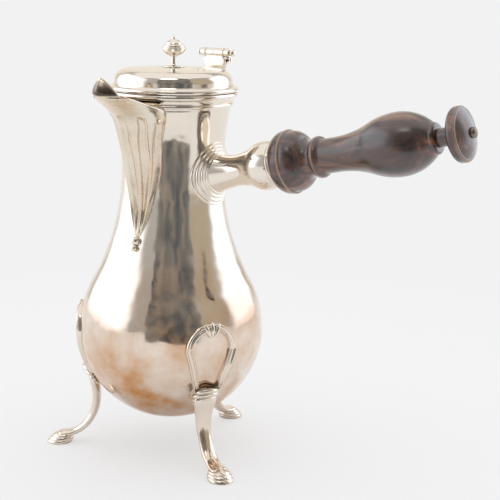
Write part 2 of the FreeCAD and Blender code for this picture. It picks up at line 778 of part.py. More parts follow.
keep(on_handle(grip), "handle_grip")

# End knob on its stem, drawn up by the rod
KNOB_FACE = "(knob_back_at + knob_rim_length)"
knob_dome_arc = "((knob_radius - 1.6)^2 + knob_dome^2) / (2 * knob_dome)"
knob = turned(
    "handle_knob",
    [
        (BORE, "grip_end_at - spigot_length"),
        ("spigot_radius", "grip_end_at - spigot_length"),
        ("spigot_radius", "grip_end_at + solder_gap"),
        ("stem_radius", "grip_end_at + solder_gap"),
        ("stem_radius", "knob_back_at - 1", "2", RIGHT),
        ("stem_radius + 2.2", "knob_back_at"),
        ("knob_radius - 1.4", "knob_back_at + 1.2", "2.6", LEFT),
        ("knob_radius", "knob_back_at + 3.2"),
        ("knob_radius", KNOB_FACE + " - 1.2", "1.6", LEFT),
        ("knob_radius - 1.2", KNOB_FACE),
        ("knob_radius - 1.6", KNOB_FACE, knob_dome_arc, LEFT),
        ("stud_radius", KNOB_FACE + " + knob_dome"),
        (BORE, KNOB_FACE + " + knob_dome"),
    ],
)
keep(on_handle(knob), "handle_knob")

ROD_END = "(%s + knob_dome + stud_height * 0.6)" % KNOB_FACE
rod = turned(
    "handle_rod",
    [
        ("0", "socket_waist_at"),
        ("rod_radius", "socket_waist_at"),
        ("rod_radius", ROD_END),
        ("0", ROD_END),
    ],
)
keep(on_handle(rod), "handle_rod")

STUD_FOOT = "(%s + knob_dome + solder_gap)" % KNOB_FACE
STUD_DOME = "(stud_height * 0.6)"
stud_arc = "(stud_radius^2 + %s^2) / (2 * %s)" % (STUD_DOME, STUD_DOME)
stud = turned(
    "handle_stud",
    [
        ("rod_radius + solder_gap", STUD_FOOT),
        ("stud_radius", STUD_FOOT),
        ("stud_radius", STUD_FOOT + " + stud_height - " + STUD_DOME, stud_arc, LEFT),
        ("0", STUD_FOOT + " + stud_height"),
        ("0", ROD_END + " + solder_gap"),
        ("rod_radius + solder_gap", ROD_END + " + solder_gap"),
    ],
)
keep(on_handle(stud), "handle_stud")

doc.recompute()
seat_shape = seated.Shape
loop_shape = looped.Shape


def spout_sections(inset, lowest, top):
    """Bow sections of the spout between its stations, from the lowest station's level up past the last by top."""
    levels = [size("spout_level_%d" % station) for station in range(1, SPOUT_STATIONS + 1)]
    course = Part.BSplineCurve()
    course.interpolate(
        Points=[
            Vector(level, size("spout_half_%d" % station), size("spout_reach_%d" % station))
            for station, level in enumerate(levels, start=1)
        ],
        Parameters=levels,
    )
    sections = []
    for station in range(lowest, SPOUT_STATIONS):
        for part in range(SPOUT_PARTS):
            level = levels[station - 1] + (levels[station] - levels[station - 1]) * part / SPOUT_PARTS
            sections.append(bow_section(course.value(level), inset, 0.0))
    sections.append(bow_section(course.value(levels[-1]), inset, 0.0))
    if top:
        sections.append(bow_section(course.value(levels[-1]), inset, top))
    return sections


def bow_section(spot, inset, lift):
    """Height, half width, root distance and reach of the spout at a spot of (level, half width, reach)."""
    height = size("mouth_height") + spot.x
    wall_at = vessel_radius(min(height, size("mouth_height")))
    half = spot.y - inset
    return height + lift, half, math.sqrt(wall_at**2 - half**2), wall_at + spot.z - inset


def spout_block(sections):
    """The solid through bow sections: each a half ellipse in front of a straight-sided root."""
    wires = []
    for height, half, root, reach in sections:
        behind = root - size("spout_half_1") * 2
        left = Vector(-half, -root, height)
        right = Vector(half, -root, height)
        if reach - root > half:
            bow = Part.Ellipse(Vector(0, -reach, height), right, Vector(0, -root, height))
        else:
            bow = Part.Ellipse(right, Vector(0, -reach, height), Vector(0, -root, height))
        span = sorted((bow.parameter(left), bow.parameter(right)))
        half_bow = Part.ArcOfEllipse(bow, span[0], span[1])
        if half_bow.value((span[0] + span[1]) / 2).y > -root:
            half_bow = Part.ArcOfEllipse(bow, span[1], span[0] + 2 * math.pi)
        corners = [left, Vector(-half, -behind, height), Vector(half, -behind, height), right]
        edges = [half_bow.toShape()] + [Part.makeLine(a, b) for a, b in zip(corners, corners[1:])]
        wires.append(Part.Wire(Part.__sortEdges__(edges)))
    return Part.makeLoft(wires, True, False)


def lip_prism():
    """Everything over the lip line, which climbs from the neck to a shelf and turns up to the tip."""
    rim = size("mouth_height")
    mouth = size("mouth_radius")
    tip = mouth + size("spout_reach_%d" % SPOUT_STATIONS)
    tip_height = rim + size("spout_level_%d" % SPOUT_STATIONS)
    root = Vector(0, 0, rim + size("lip_root_level") - 2.2)
    wall = Vector(0, -mouth, rim + size("lip_root_level") + 1.0)
    shelf = Vector(0, -(mouth + size("lip_shelf_reach")), rim + size("lip_shelf_level"))
    turn = Vector(0, -(mouth + size("lip_turn_reach")), rim + size("lip_shelf_level") + 2.0)
    end = Vector(0, -tip, tip_height)
    line = Part.BSplineCurve()
    line.interpolate([root, wall, shelf, turn, end])
    above = Vector(0, 0, tip_height + 20)
    corners = [end, Vector(0, -tip - 20, tip_height + 20), above, root]
    edges = [line.toShape()] + [Part.makeLine(a, b) for a, b in zip(corners, corners[1:])]
    face = Part.Face(Part.Wire(edges))
    width = size("spout_half_5") * 4
    face.translate(Vector(-width / 2, 0, 0))
    return face.extrude(Vector(width, 0, 0))


def spout_shape():
    """The open beak: an outer bow, hollowed, cut along its lip and fitted to the neck and moulding."""
    outer = spout_block(spout_sections(0.0, 1, 0.0))
    inner = spout_block(spout_sections(size("spout_wall"), 2, 4.0))
    clear = Part.makeCylinder(
        size("rim_radius") + size("solder_gap"),
        size("moulding_depth") + 30,
        Vector(0, 0, size("mouth_height") - size("moulding_depth") - size("solder_gap")),
    )
    return outer.cut(inner).cut(lip_prism()).cut(seat_shape).cut(clear)


keep(free_form("spout_form", spout_shape()), "spout")


def foot_loop():
    """The cartouche: a horseshoe band that lies on the belly."""
    half = size("loop_half_width")
    centre = size("loop_centre_height")
    low = size("loop_bottom_height")
    low_half = size("loop_bottom_half")

    def horseshoe(inset, floor):
        wide = half - inset
        narrow = low_half - inset * 0.45
        points = [Vector(0, -narrow, low + floor), Vector(0, -wide, centre), Vector(0, wide, centre)]
        points.append(Vector(0, narrow, low + floor))
        arch = Part.Arc(points[1], Vector(0, 0, centre + wide), points[2]).toShape()
        sides = [Part.makeLine(points[0], points[1]), Part.makeLine(points[2], points[3])]
        return Part.Face(Part.Wire([sides[0], arch, sides[1], Part.makeLine(points[3], points[0])]))

    band = horseshoe(0.0, 0.0).cut(horseshoe(size("loop_band"), size("loop_band")))
    prism = band.extrude(Vector(2 * size("belly_radius"), 0, 0))
    return prism.common(loop_shape.cut(seat_shape))


def oval(centre, along, half_width, half_thickness):
    """An oval wire square to a direction in the foot's upright plane."""
    across = Vector(-along.z, 0, along.x)
    width_end = centre + Vector(0, half_width, 0)
    return Part.Wire(Part.Ellipse(width_end, centre + across * half_thickness, centre).toShape())


def foot_leg():
    """The cabriole leg: a knuckle on the belly, a straight ankle and a quarter oval out to the toe."""
    knuckle = size("knuckle_height")
    ankle = size("ankle_height")
    root = vessel_radius(knuckle)
    wide, thick = size("leg_width") / 2, size("leg_thickness") / 2
    down = Vector(0, 0, -1)
    over = size("loop_bottom_height") + size("knuckle_half_width") / 3
    wires = [oval(Vector(vessel_radius(over), 0, over), down, size("knuckle_half_width") * 0.95, thick * 1.2)]
    wires.append(oval(Vector(root + thick * 0.82, 0, knuckle), down, size("knuckle_half_width"), thick * 1.5))
    wires.append(oval(Vector(root + thick * 0.41, 0, knuckle - wide * 1.12), down, wide * 1.35, thick * 1.35))
    run = size("toe_reach") - size("toe_length") * 0.22 - root
    fall = ankle - size("toe_height") * 0.95
    for degrees in (0, 24, 46, 68, 88):
        turn = math.radians(degrees)
        spot = Vector(root + run * (1 - math.cos(turn)), 0, ankle - fall * math.sin(turn))
        along = Vector(run * math.sin(turn), 0, -fall * math.cos(turn)).normalize()
        wires.append(oval(spot, along, wide * (1 + 0.25 * math.sin(turn) ** 4), thick))
    return Part.makeLoft(wires, True, False)


def foot_toe():
    """The toe: flat-bottomed oval ridges stacked and stepped back."""
    tier = size("toe_height") / TOE_RIDGES
    toe = None
    for level in range(TOE_RIDGES):
        back = level * size("toe_ridge")
        long_half = size("toe_length") / 2 - back
        wide_half = size("toe_width") / 2 - back
        centre = Vector(size("toe_reach") - back, 0, level * tier)
        outline = Part.Ellipse(centre + Vector(0, wide_half, 0), centre + Vector(long_half, 0, 0), centre)
        ridge = Part.Face(Part.Wire(outline.toShape())).extrude(Vector(0, 0, tier))
        crest = [edge for edge in ridge.Edges if edge.CenterOfMass.z > centre.z + tier * 0.9]
        ridge = ridge.makeFillet(tier * 0.4, crest)
        toe = ridge if toe is None else toe.fuse(ridge)
    return toe


def foot_shape():
    """One cast foot, standing out along +X."""
    cast = foot_leg().fuse([foot_loop(), foot_toe()])
    return cast.cut(seat_shape).removeSplitter()


one_foot = foot_shape()
for label, turn in (
    ("foot_right", size("foot_azimuth") - 90),
    ("foot_rear", 90),
    ("foot_left", -90 - size("foot_azimuth")),
):
    foot = free_form(label + "_cast", one_foot)
    foot.Placement = Placement(Vector(), Rotation(Vector(0, 0, 1), turn))
    keep(foot, label)


def drop_shape():
    """Two beads under the point of the spout, laid down the neck's slope."""
    big, small = size("drop_bead_radius"), size("drop_tip_radius")
    top = size("mouth_height") + size("spout_level_1")
    bottom = top - 1.7 * (big + small)
    lower = Vector(0, -(vessel_radius(bottom) + small * 0.8), bottom)
    upper = Vector(0, -(vessel_radius(top) + small * 0.5), top)
    way = upper - lower
    length = way.Length
    way.normalize()
    beads = Part.makeSphere(small, lower + way * small)
    beads = beads.fuse(Part.makeSphere(big, lower + way * (length - big)))
    stalk = Part.makeCylinder(small * 0.6, length - small - big, lower + way * small, way)
    return beads.fuse(stalk).cut(seat_shape)


drop = drop_shape().cut(spout_block(spout_sections(-size("solder_gap"), 1, 0.0)))
keep(free_form("drop_form", drop), "spout_drop")

doc.recompute()
for item in doc.Objects:
    if {"Invalid", "Error"} & set(item.State):
        raise RuntimeError("%s failed: %s" % (item.Label, item.State))
if not vessel.Shape.Volume < whole_volume:
    raise RuntimeError("the strainer holes cut nothing")
for piece in nodes:
    if piece.Shape.isNull() or not piece.Shape.isValid() or len(piece.Shape.Solids) != 1:
        raise RuntimeError("%s is not one valid solid" % piece.Label)
os.makedirs("parts", exist_ok=True)
for piece in nodes:
    piece.Shape.exportStep("parts/%s.step" % piece.Label)
    box = piece.Shape.BoundBox
    print("%-18s %8.0f mm3  %s" % (piece.Label, piece.Shape.Volume, box))
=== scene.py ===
import logging
import math
from dataclasses import dataclass
from enum import Enum
from typing import Callable, Optional, Sequence

import bpy
import numpy as np
from mathutils import Matrix, Vector


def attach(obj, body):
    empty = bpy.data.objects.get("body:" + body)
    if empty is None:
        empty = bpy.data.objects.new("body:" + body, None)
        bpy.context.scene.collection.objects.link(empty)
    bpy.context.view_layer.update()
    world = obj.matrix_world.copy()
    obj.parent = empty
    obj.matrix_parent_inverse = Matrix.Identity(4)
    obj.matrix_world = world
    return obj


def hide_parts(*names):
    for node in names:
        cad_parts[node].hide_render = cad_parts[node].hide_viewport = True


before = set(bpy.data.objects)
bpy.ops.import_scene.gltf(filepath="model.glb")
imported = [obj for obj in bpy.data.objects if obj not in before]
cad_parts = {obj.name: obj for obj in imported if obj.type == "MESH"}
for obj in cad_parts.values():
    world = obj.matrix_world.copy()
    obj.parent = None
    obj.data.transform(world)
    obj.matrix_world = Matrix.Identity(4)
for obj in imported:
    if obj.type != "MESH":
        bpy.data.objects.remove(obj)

# Looks of a silver coffee pot with a turned wooden side handle and a hinged lid.
# Sizes are in millimetres and become metres when a mesh is made. Z is the pot's axis,
# the spout points along -Y, the handle along +X, and the lid's hinge stands at +Y.

log = logging.getLogger("coffee_pot")
MM = 0.001
TAU = 2.0 * np.pi
LEFT, RIGHT = 1, -1
HALVINGS = 40
LONGEST_TRIM = 0.3
BLACK, WHITE = (0, 0, 0, 1), (1, 1, 1, 1)
Corner = tuple
Array = np.ndarray
Socket = bpy.types.NodeSocket
Material = bpy.types.Material


class Body(Enum):
    """The two rigid bodies of the pot."""

    POT = "pot"
    LID = "lid"


class Slot(Enum):
    """The record's material slots."""

    SILVER = "silver"
    WOOD = "wood"
    IRON = "iron"


@dataclass
class Shell:
    """A closed surface: points in millimetres, quads and triangles."""

    points: Array
    quads: Array
    tris: Array

    @staticmethod
    def grid(
        points: Array, wrap_rows: bool = False, start: Optional[Array] = None, end: Optional[Array] = None
    ) -> "Shell":
        """Close a grid of points whose columns run round a loop.

        Args:
            points: Array of rows by columns by 3.
            wrap_rows: Whether the last row joins the first, as on a ring.
            start: Pole that closes the first row, or its mean when not given.
            end: Pole that closes the last row, or its mean when not given.

        Returns:
            The closed surface, turned outwards.
        """
        rows, cols = points.shape[:2]
        index = np.arange(rows * cols).reshape(rows, cols)
        below = index if wrap_rows else index[:-1]
        above = np.roll(index, -1, 0) if wrap_rows else index[1:]
        quads = columns(below, np.roll(below, -1, 1), np.roll(above, -1, 1), above).reshape(-1, 4)
        flat = points.reshape(-1, 3)
        tris = np.zeros((0, 3), int)
        if not wrap_rows:
            low_pole = points[0].mean(0) if start is None else start
            high_pole = points[-1].mean(0) if end is None else end
            flat = np.vstack([flat, low_pole, high_pole])
            first, last = index[0], index[-1]
            low = columns(np.full(cols, rows * cols), np.roll(first, -1), first)
            high = columns(np.full(cols, rows * cols + 1), last, np.roll(last, -1))
            tris = np.vstack([low, high])
        return Shell(flat, quads, tris).outward()

    def outward(self) -> "Shell":
        """Turn every face outwards, judged by the sign of the enclosed volume.

        Returns:
            This surface.
        """
        corners = np.vstack([self.quads[:, [0, 1, 2]], self.quads[:, [0, 2, 3]], self.tris])
        a, b, c = (self.points[corners[:, k]] for k in range(3))
        if np.einsum("ij,ij->i", a, np.cross(b, c)).sum() < 0:
            self.quads, self.tris = self.quads[:, ::-1], self.tris[:, ::-1]
        return self

    def moved(self, turn: Array, shift: Sequence[float] = (0, 0, 0)) -> "Shell":
        """A turned and shifted copy."""
        return Shell(self.points @ np.asarray(turn).T + np.asarray(shift, float), self.quads, self.tris)

    @staticmethod
    def joined(shells: Sequence["Shell"]) -> "Shell":
        """Several closed surfaces as one.

        Args:
            shells: The surfaces.

        Returns:
            One surface with all their faces.
        """
        starts = np.cumsum([0] + [len(s.points) for s in shells[:-1]])
        return Shell(
            np.vstack([s.points for s in shells]),
            np.vstack([s.quads + k for s, k in zip(shells, starts)]),
            np.vstack([s.tris + k for s, k in zip(shells, starts)]),
        )


# Small tools for curves and surfaces


def turn_z(degrees: float) -> Array:
    """Rotation about Z, counter-clockwise from above."""
    c, s = math.cos(math.radians(degrees)), math.sin(math.radians(degrees))
    return np.array([[c, -s, 0], [s, c, 0], [0, 0, 1]])


def columns(*parts: Array) -> Array:
    """Arrays side by side along a new last axis, spread to one shape."""
    return np.stack(np.broadcast_arrays(*parts), -1)


def unit(vectors: Array) -> Array:
    """Vectors scaled to length one."""
    return vectors / np.linalg.norm(vectors, axis=-1, keepdims=True)


def ways(path: Array) -> Array:
    """Direction of a path at each of its points."""
    return unit(np.gradient(path, axis=0))


def bell(at: Array, middle: float, width: float) -> Array:
    """A bell curve of height one, which falls to 1/e at its width from the middle."""
    return np.exp(-(((at - middle) / width) ** 2))


def halved(inside: Callable[[Array], Array], low: Array, high: Array) -> Array:
    """The last places that are inside, found by halving the spans from low to high.

    Args:
        inside: Tells for an array of places which of them are inside.
        low: Places that are inside.
        high: Places that are outside.

    Returns:
        The places.
    """
    for _ in range(HALVINGS):
        middle = (low + high) / 2
        within = inside(middle)
        low, high = np.where(within, middle, low), np.where(within, high, middle)
    return low


def bow_radius(run: float, rise: float) -> float:
    """Radius of an arc that starts along a line and leaves it by a rise over a run."""
    return (run**2 + rise**2) / (2 * rise)


def swell(waist: Sequence[float], bulb: Sequence[float], rounding: float) -> tuple:
    """The hollow arc that leads from a waist to the round arc of a bulb.

    Args:
        waist: Radius and height of the waist.
        bulb: Radius and height of the bulb.
        rounding: Radius of the bulb's arc.

    Returns:
        The hollow arc's radius, and the point where the arcs meet.
    """
    drop, rise = bulb[0] - waist[0], bulb[1] - waist[1]
    span = bow_radius(rise, drop)
    return span - rounding, (bulb[0] - rounding * drop / span, bulb[1] - rounding * rise / span)


def arc(start: Array, end: Array, radius: float, side: int, count: int) -> Array:
    """Points of the short arc from start to end, whose centre lies on that side of the way.

    Args:
        start: First point.
        end: Last point.
        radius: Radius of the arc.
        side: LEFT or RIGHT.
        count: Number of steps.

    Returns:
        Points from start up to, but without, end.
    """
    chord = end - start
    half = np.hypot(*chord) / 2
    normal = np.array([-chord[1], chord[0]]) / (2 * half)
    centre = (start + end) / 2 + normal * side * math.sqrt(max(radius**2 - half**2, 0))
    first = math.atan2(*(start - centre)[::-1])
    last = math.atan2(*(end - centre)[::-1])
    sweep = (last - first + math.pi) % TAU - math.pi
    angles = first + sweep * np.arange(count) / count
    return centre + radius * columns(np.cos(angles), np.sin(angles))


def distances(line: Array) -> Array:
    """How far each point of a line lies from its start, along the line."""
    return np.concatenate([[0], np.cumsum(np.linalg.norm(np.diff(line, axis=0), axis=1))])


def at_marks(line: Array, marks: Array) -> Array:
    """Points of a flat line at given distances along it."""
    along = distances(line)
    return columns(*(np.interp(marks, along, line[:, axis]) for axis in (0, 1)))


def outline(corners: Sequence[Corner], soften: float = 0.18, closed: bool = False, count: int = 14) -> Array:
    """A fine profile through corners of (radius, height) or (radius, height, arc radius, side).

    Every sharp corner is replaced by a short curve, so that polished edges catch the light.

    Args:
        corners: The corners in order.
        soften: Length taken off each side of a sharp corner.
        closed: Whether the last corner leads back to the first.
        count: Steps of each arc.

    Returns:
        Points of the profile.
    """
    ends = np.array([corner[:2] for corner in corners], float)
    total = len(corners)
    legs = []
    for k in range(total if closed else total - 1):
        a, b = ends[k], ends[(k + 1) % total]
        way = arc(a, b, *corners[k][2:], count) if len(corners[k]) == 4 else a[None]
        legs.append(np.vstack([way, b[None]]))
    blend = np.linspace(0, 1, 6)[1:-1, None]
    pieces = []
    for k, leg in enumerate(legs):
        goes_on = closed or k < len(legs) - 1
        length = distances(leg)[-1]
        trim = min(soften, length * LONGEST_TRIM)
        lead = trim if closed or k else 0.0
        tail = trim if goes_on else 0.0
        line = at_marks(leg, np.linspace(lead, length - tail, max(len(leg), 4)))
        pieces.append(line)
        if goes_on:
            following = legs[(k + 1) % len(legs)]
            after = at_marks(following, min(soften, distances(following)[-1] * LONGEST_TRIM))
            bend = 2 * blend * (1 - blend) * leg[-1]
            pieces.append((1 - blend) ** 2 * line[-1] + bend + blend**2 * after)
    return np.vstack(pieces)


def ring_of(count: int) -> Array:
    """Unit vectors round a full turn."""
    angles = TAU * np.arange(count) / count
    return columns(np.cos(angles), np.sin(angles))


def turned(profile: Array, closed: bool = False, cols: int = 160) -> Shell:
    """The surface swept by a profile of (radius, height) about Z.

    Args:
        profile: Points of the profile; an open one starts and ends on the axis.
        closed: Whether it is a ring, whose profile loops.
        cols: Steps round the axis.

    Returns:
        The closed surface.
    """
    rows = profile if closed else profile[1:-1]
    heights = np.broadcast_to(rows[:, None, 1:], (len(rows), cols, 1))
    points = np.concatenate([rows[:, None, :1] * ring_of(cols)[None], heights], -1)
    if closed:
        return Shell.grid(points, wrap_rows=True)
    return Shell.grid(points, False, np.array([0, 0, profile[0, 1]]), np.array([0, 0, profile[-1, 1]]))


def swept(path: Array, across: Array, out: Array, width: Array, depth: Array, section: Array) -> Shell:
    """The surface of a section carried along a path.

    Args:
        path: Points of the path.
        across: Unit vector of the section's first axis at each point.
        out: Unit vector of its second axis at each point.
        width: Scale along the first axis.
        depth: Scale along the second.
        section: Loop of the section in unit size.

    Returns:
        The closed surface.
    """
    points = (
        path[:, None]
        + across[:, None] * (width[:, None] * section[None, :, 0])[..., None]
        + out[:, None] * (depth[:, None] * section[None, :, 1])[..., None]
    )
    return Shell.grid(points)


def super_loop(power: float, count: int) -> Array:
    """A rounded box as a loop: |x|^power + |y|^power = 1."""
    ring = ring_of(count)
    return np.sign(ring) * np.abs(ring) ** (2 / power)


def along_curve(knots: Sequence[Sequence[float]], count: int) -> Array:
    """A smooth curve through knots: cubic in each span, with slopes from the neighbours.

    Args:
        knots: Points to pass through.
        count: Number of points of the curve.

    Returns:
        Points of the curve.
    """
    spots = np.asarray(knots, float)
    at = distances(spots)
    slopes = np.gradient(spots, at, axis=0)
    marks = np.linspace(0, at[-1], count)
    k = np.clip(np.searchsorted(at, marks, side="right") - 1, 0, len(spots) - 2)
    span = (at[k + 1] - at[k])[:, None]
    t = ((marks - at[k]) / span[:, 0])[:, None]
    return (
        (2 * t**3 - 3 * t**2 + 1) * spots[k]
        + (t**3 - 2 * t**2 + t) * span * slopes[k]
        + (3 * t**2 - 2 * t**3) * spots[k + 1]
        + (t**3 - t**2) * span * slopes[k + 1]
    )


class Spline:
    """A natural cubic spline through knots."""

    def __init__(self, places: Sequence[float], values: Sequence[float]) -> None:
        """Work out how much the curve bends at each knot.

        Args:
            places: Increasing positions.
            values: Values there.
        """
        self.x, self.y = np.asarray(places, float), np.asarray(values, float)
        self.h = h = np.diff(self.x)
        size = len(self.x)
        matrix, right = np.eye(size), np.zeros(size)
        slope = np.diff(self.y) / h
        for k in range(1, size - 1):
            matrix[k, k - 1 : k + 2] = h[k - 1], 2 * (h[k - 1] + h[k]), h[k]
            right[k] = 6 * (slope[k] - slope[k - 1])
        self.bend = np.linalg.solve(matrix, right)

    def __call__(self, at: Array) -> Array:
        """Values of the curve.

        Args:
            at: Positions.

        Returns:
            Values there.
        """
        k = np.clip(np.searchsorted(self.x, at) - 1, 0, len(self.x) - 2)
        h = self.h[k]
        a, b = (self.x[k + 1] - at) / h, (at - self.x[k]) / h
        cubic = ((a**3 - a) * self.bend[k] + (b**3 - b) * self.bend[k + 1]) * h**2 / 6
        return a * self.y[k] + b * self.y[k + 1] + cubic


# Materials


def linear(hexes: str) -> tuple:
    """A colour in hex as linear values, by the sRGB curve."""
    parts = [int(hexes[k : k + 2], 16) / 255 for k in (0, 2, 4)]
    return tuple(p / 12.92 if p <= 0.04045 else ((p + 0.055) / 1.055) ** 2.4 for p in parts) + (1.0,)


class Nodes:
    """The node tree of a material or world, to which nodes are added one call at a time."""

    def __init__(self, block: bpy.types.ID) -> None:
        """Start an empty tree.

        Args:
            block: The material or world.
        """
        block.use_nodes = True
        self.block, self.tree = block, block.node_tree
        self.tree.nodes.clear()

    def add(self, kind: str, inputs: Optional[dict] = None, **settings) -> bpy.types.Node:
        """Add a node with its settings, and fill or link its inputs.

        Args:
            kind: The node's type.
            inputs: Input name or number to a value or to another node's output.
            settings: Properties of the node.

        Returns:
            The node.
        """
        node = self.tree.nodes.new(kind)
        for key, setting in settings.items():
            setattr(node, key, setting)
        for key, given in (inputs or {}).items():
            if isinstance(given, Socket):
                self.tree.links.new(given, node.inputs[key])
            else:
                node.inputs[key].default_value = given
        return node

    def place(self) -> Socket:
        """Object coordinates."""
        return self.add("ShaderNodeTexCoord").outputs["Object"]

    def worn_and_shaded(self) -> Socket:
        """The piece's own attribute: how worn each point of the wood is, and how much painted shade each
        point of the spout's prow gets.
        """
        return self.add("ShaderNodeAttribute", attribute_name="wear_and_shade").outputs["Fac"]

    def noise(
        self, place: Socket, scale: float, detail: float = 2.0, rough: float = 0.5, twist: float = 0.0
    ) -> Socket:
        """Soft clouds from 0 to 1, with scale in clouds per unit of place."""
        inputs = {"Vector": place, "Scale": scale, "Detail": detail, "Roughness": rough, "Distortion": twist}
        return self.add("ShaderNodeTexNoise", inputs).outputs["Fac"]

    def maths(self, operation: str, *values) -> Socket:
        """Arithmetic on numbers and outputs."""
        return self.add("ShaderNodeMath", dict(enumerate(values)), operation=operation).outputs[0]

    def spread(
        self, value: Socket, start: float, end: float, low: float = 0, high: float = 1, kind: str = "LINEAR"
    ) -> Socket:
        """Carry a value from one range to another, and hold it at the ends."""
        inputs = {"Value": value, "From Min": start, "From Max": end, "To Min": low, "To Max": high}
        return self.add("ShaderNodeMapRange", inputs, interpolation_type=kind).outputs[0]

    def blend(self, share: Socket, first, second) -> Socket:
        """Mix two colours, by the share of the second."""
        return self.add("ShaderNodeMix", {0: share, 6: first, 7: second}, data_type="RGBA").outputs[2]

    def bump(self, height: Socket, distance: float, strength: float) -> Socket:
        """Normals bent by a height whose unit is a distance in millimetres."""
        inputs = {"Strength": strength, "Distance": distance * MM, "Height": height}
        return self.add("ShaderNodeBump", inputs).outputs[0]

    def ramp(self, factor: Socket, stops: Sequence[tuple]) -> Socket:
        """Colours spread over a factor.

        Args:
            factor: Output that drives the ramp.
            stops: Pairs of position and colour.

        Returns:
            The ramp's colour output.
        """
        node = self.add("ShaderNodeValToRGB", {0: factor})
        elements = node.color_ramp.elements
        while len(elements) < len(stops):
            elements.new(0.5)
        for element, (position, colour) in zip(elements, stops):
            element.position, element.color = position, colour
        return node.outputs[0]

    def done(self, kind: str, inputs: dict, end: str = "ShaderNodeOutputMaterial") -> bpy.types.ID:
        """Add the last shader and link it to the output."""
        self.add(end, {0: self.add(kind, inputs).outputs[0]})
        return self.block


@dataclass(frozen=True)
class SilverFinish:
    """Polished silver: how wavy and how stained its surface is, and the dark colour of painted shade where a
    piece asks for it.

    Tarnish is full up to the height stain_full and falls to the share above at stain_from, both in metres.
    clouds of tarnish and rubs of the polishing cloth are counted per metre.
    """

    name: str
    colour: str = "ede5d9"
    tarnish: str = "c98e52"
    # Colour of painted shade, which only the spout's prow gets, through its attribute.
    worn_and_shaded: str = "3c2b25"
    stain_and_shade: float = 0.0
    above: float = 0.2
    stain_from: float = 0.125
    stain_full: float = 0.045
    clouds: float = 30.0
    rubs: float = 70.0
    wave: float = 0.0
    wave_mm: float = 16.0
    roughness: float = 0.10

    def material(self) -> Material:
        """Mirror metal whose waves bend reflections, with warm patches of tarnish in soft clouds.

        Returns:
            The material.
        """
        n = Nodes(bpy.data.materials.new(self.name))
        place = n.place()
        blush = n.ramp(n.noise(place, self.clouds, 4.0, 0.6), [(0.33, BLACK), (0.64, WHITE)])
        height = n.add("ShaderNodeSeparateXYZ", {0: place}).outputs["Z"]
        low = n.spread(height, self.stain_from, self.stain_full, self.above, 1.0)
        amount = n.maths("MULTIPLY", n.maths("MULTIPLY", blush, low), self.stain_and_shade)
        stained = n.blend(amount, linear(self.colour), linear(self.tarnish))
        cloudy = n.noise(place, self.rubs, 5.0, 0.65)
        looks = {
            # Painted shade darkens the colour where the piece's attribute asks for it, which is on the
            # spout's prow.
            "Base Color": n.blend(n.worn_and_shaded(), stained, linear(self.worn_and_shaded)),
            "Metallic": 1.0,
            "Roughness": n.spread(cloudy, 0.3, 0.7, self.roughness * 0.4, self.roughness * 1.9),
        }
        if self.wave:
            hammered = n.noise(place, 1.0 / (self.wave_mm * MM), 1.5, 0.4)
            looks["Normal"] = n.bump(hammered, self.wave, 1.0)
        return n.done("ShaderNodeBsdfPrincipled", looks)


@dataclass(frozen=True)
class WoodFinish:
    """Turned and waxed dark hardwood with its grain along the handle."""

    name: str = "Turned rosewood, waxed"
    dark: str = "140b08"
    middle: str = "46291f"
    light: str = "916046"
    worn_and_shaded: str = "a98a72"
    tilt: float = 13.0
    stretch: tuple = (8.0, 62.0, 62.0)
    streaks: float = 1.6
    pores: float = 9.0

    def material(self) -> Material:
        """Dark brown with long black streaks, a wax sheen and pale wear on the ridges.

        Returns:
            The material.
        """
        n = Nodes(bpy.data.materials.new(self.name))
        lie = {"Vector": n.place(), "Rotation": (0.0, math.radians(self.tilt), 0.0), "Scale": self.stretch}
        grain = n.add("ShaderNodeMapping", lie).outputs[0]
        streak = n.noise(grain, self.streaks, 5.0, 0.62, 0.8)
        stops = [(0.36, linear(self.dark)), (0.54, linear(self.middle)), (0.76, linear(self.light))]
        pores = n.noise(grain, self.pores)
        looks = {
            "Base Color": n.blend(n.worn_and_shaded(), n.ramp(streak, stops), linear(self.worn_and_shaded)),
            "Roughness": n.spread(pores, 0.0, 1.0, 0.24, 0.46),
            "Coat Weight": 1.0,
            "Coat IOR": 1.62,
            "Coat Roughness": 0.2,
            "Normal": n.bump(pores, 0.05, 0.25),
        }
        return n.done("ShaderNodeBsdfPrincipled", looks)


@dataclass(frozen=True)
class IronFinish:
    """Plain drawn iron."""

    name: str = "Drawn iron rod"
    colour: str = "77736f"

    def material(self) -> Material:
        """Grey metal with a dull, fine-grained sheen.

        Returns:
            The material.
        """
        n = Nodes(bpy.data.materials.new(self.name))
        rough = n.spread(n.noise(n.place(), 900.0), 0.0, 1.0, 0.35, 0.55)
        looks = {"Base Color": linear(self.colour), "Metallic": 1.0, "Roughness": rough}
        return n.done("ShaderNodeBsdfPrincipled", looks)


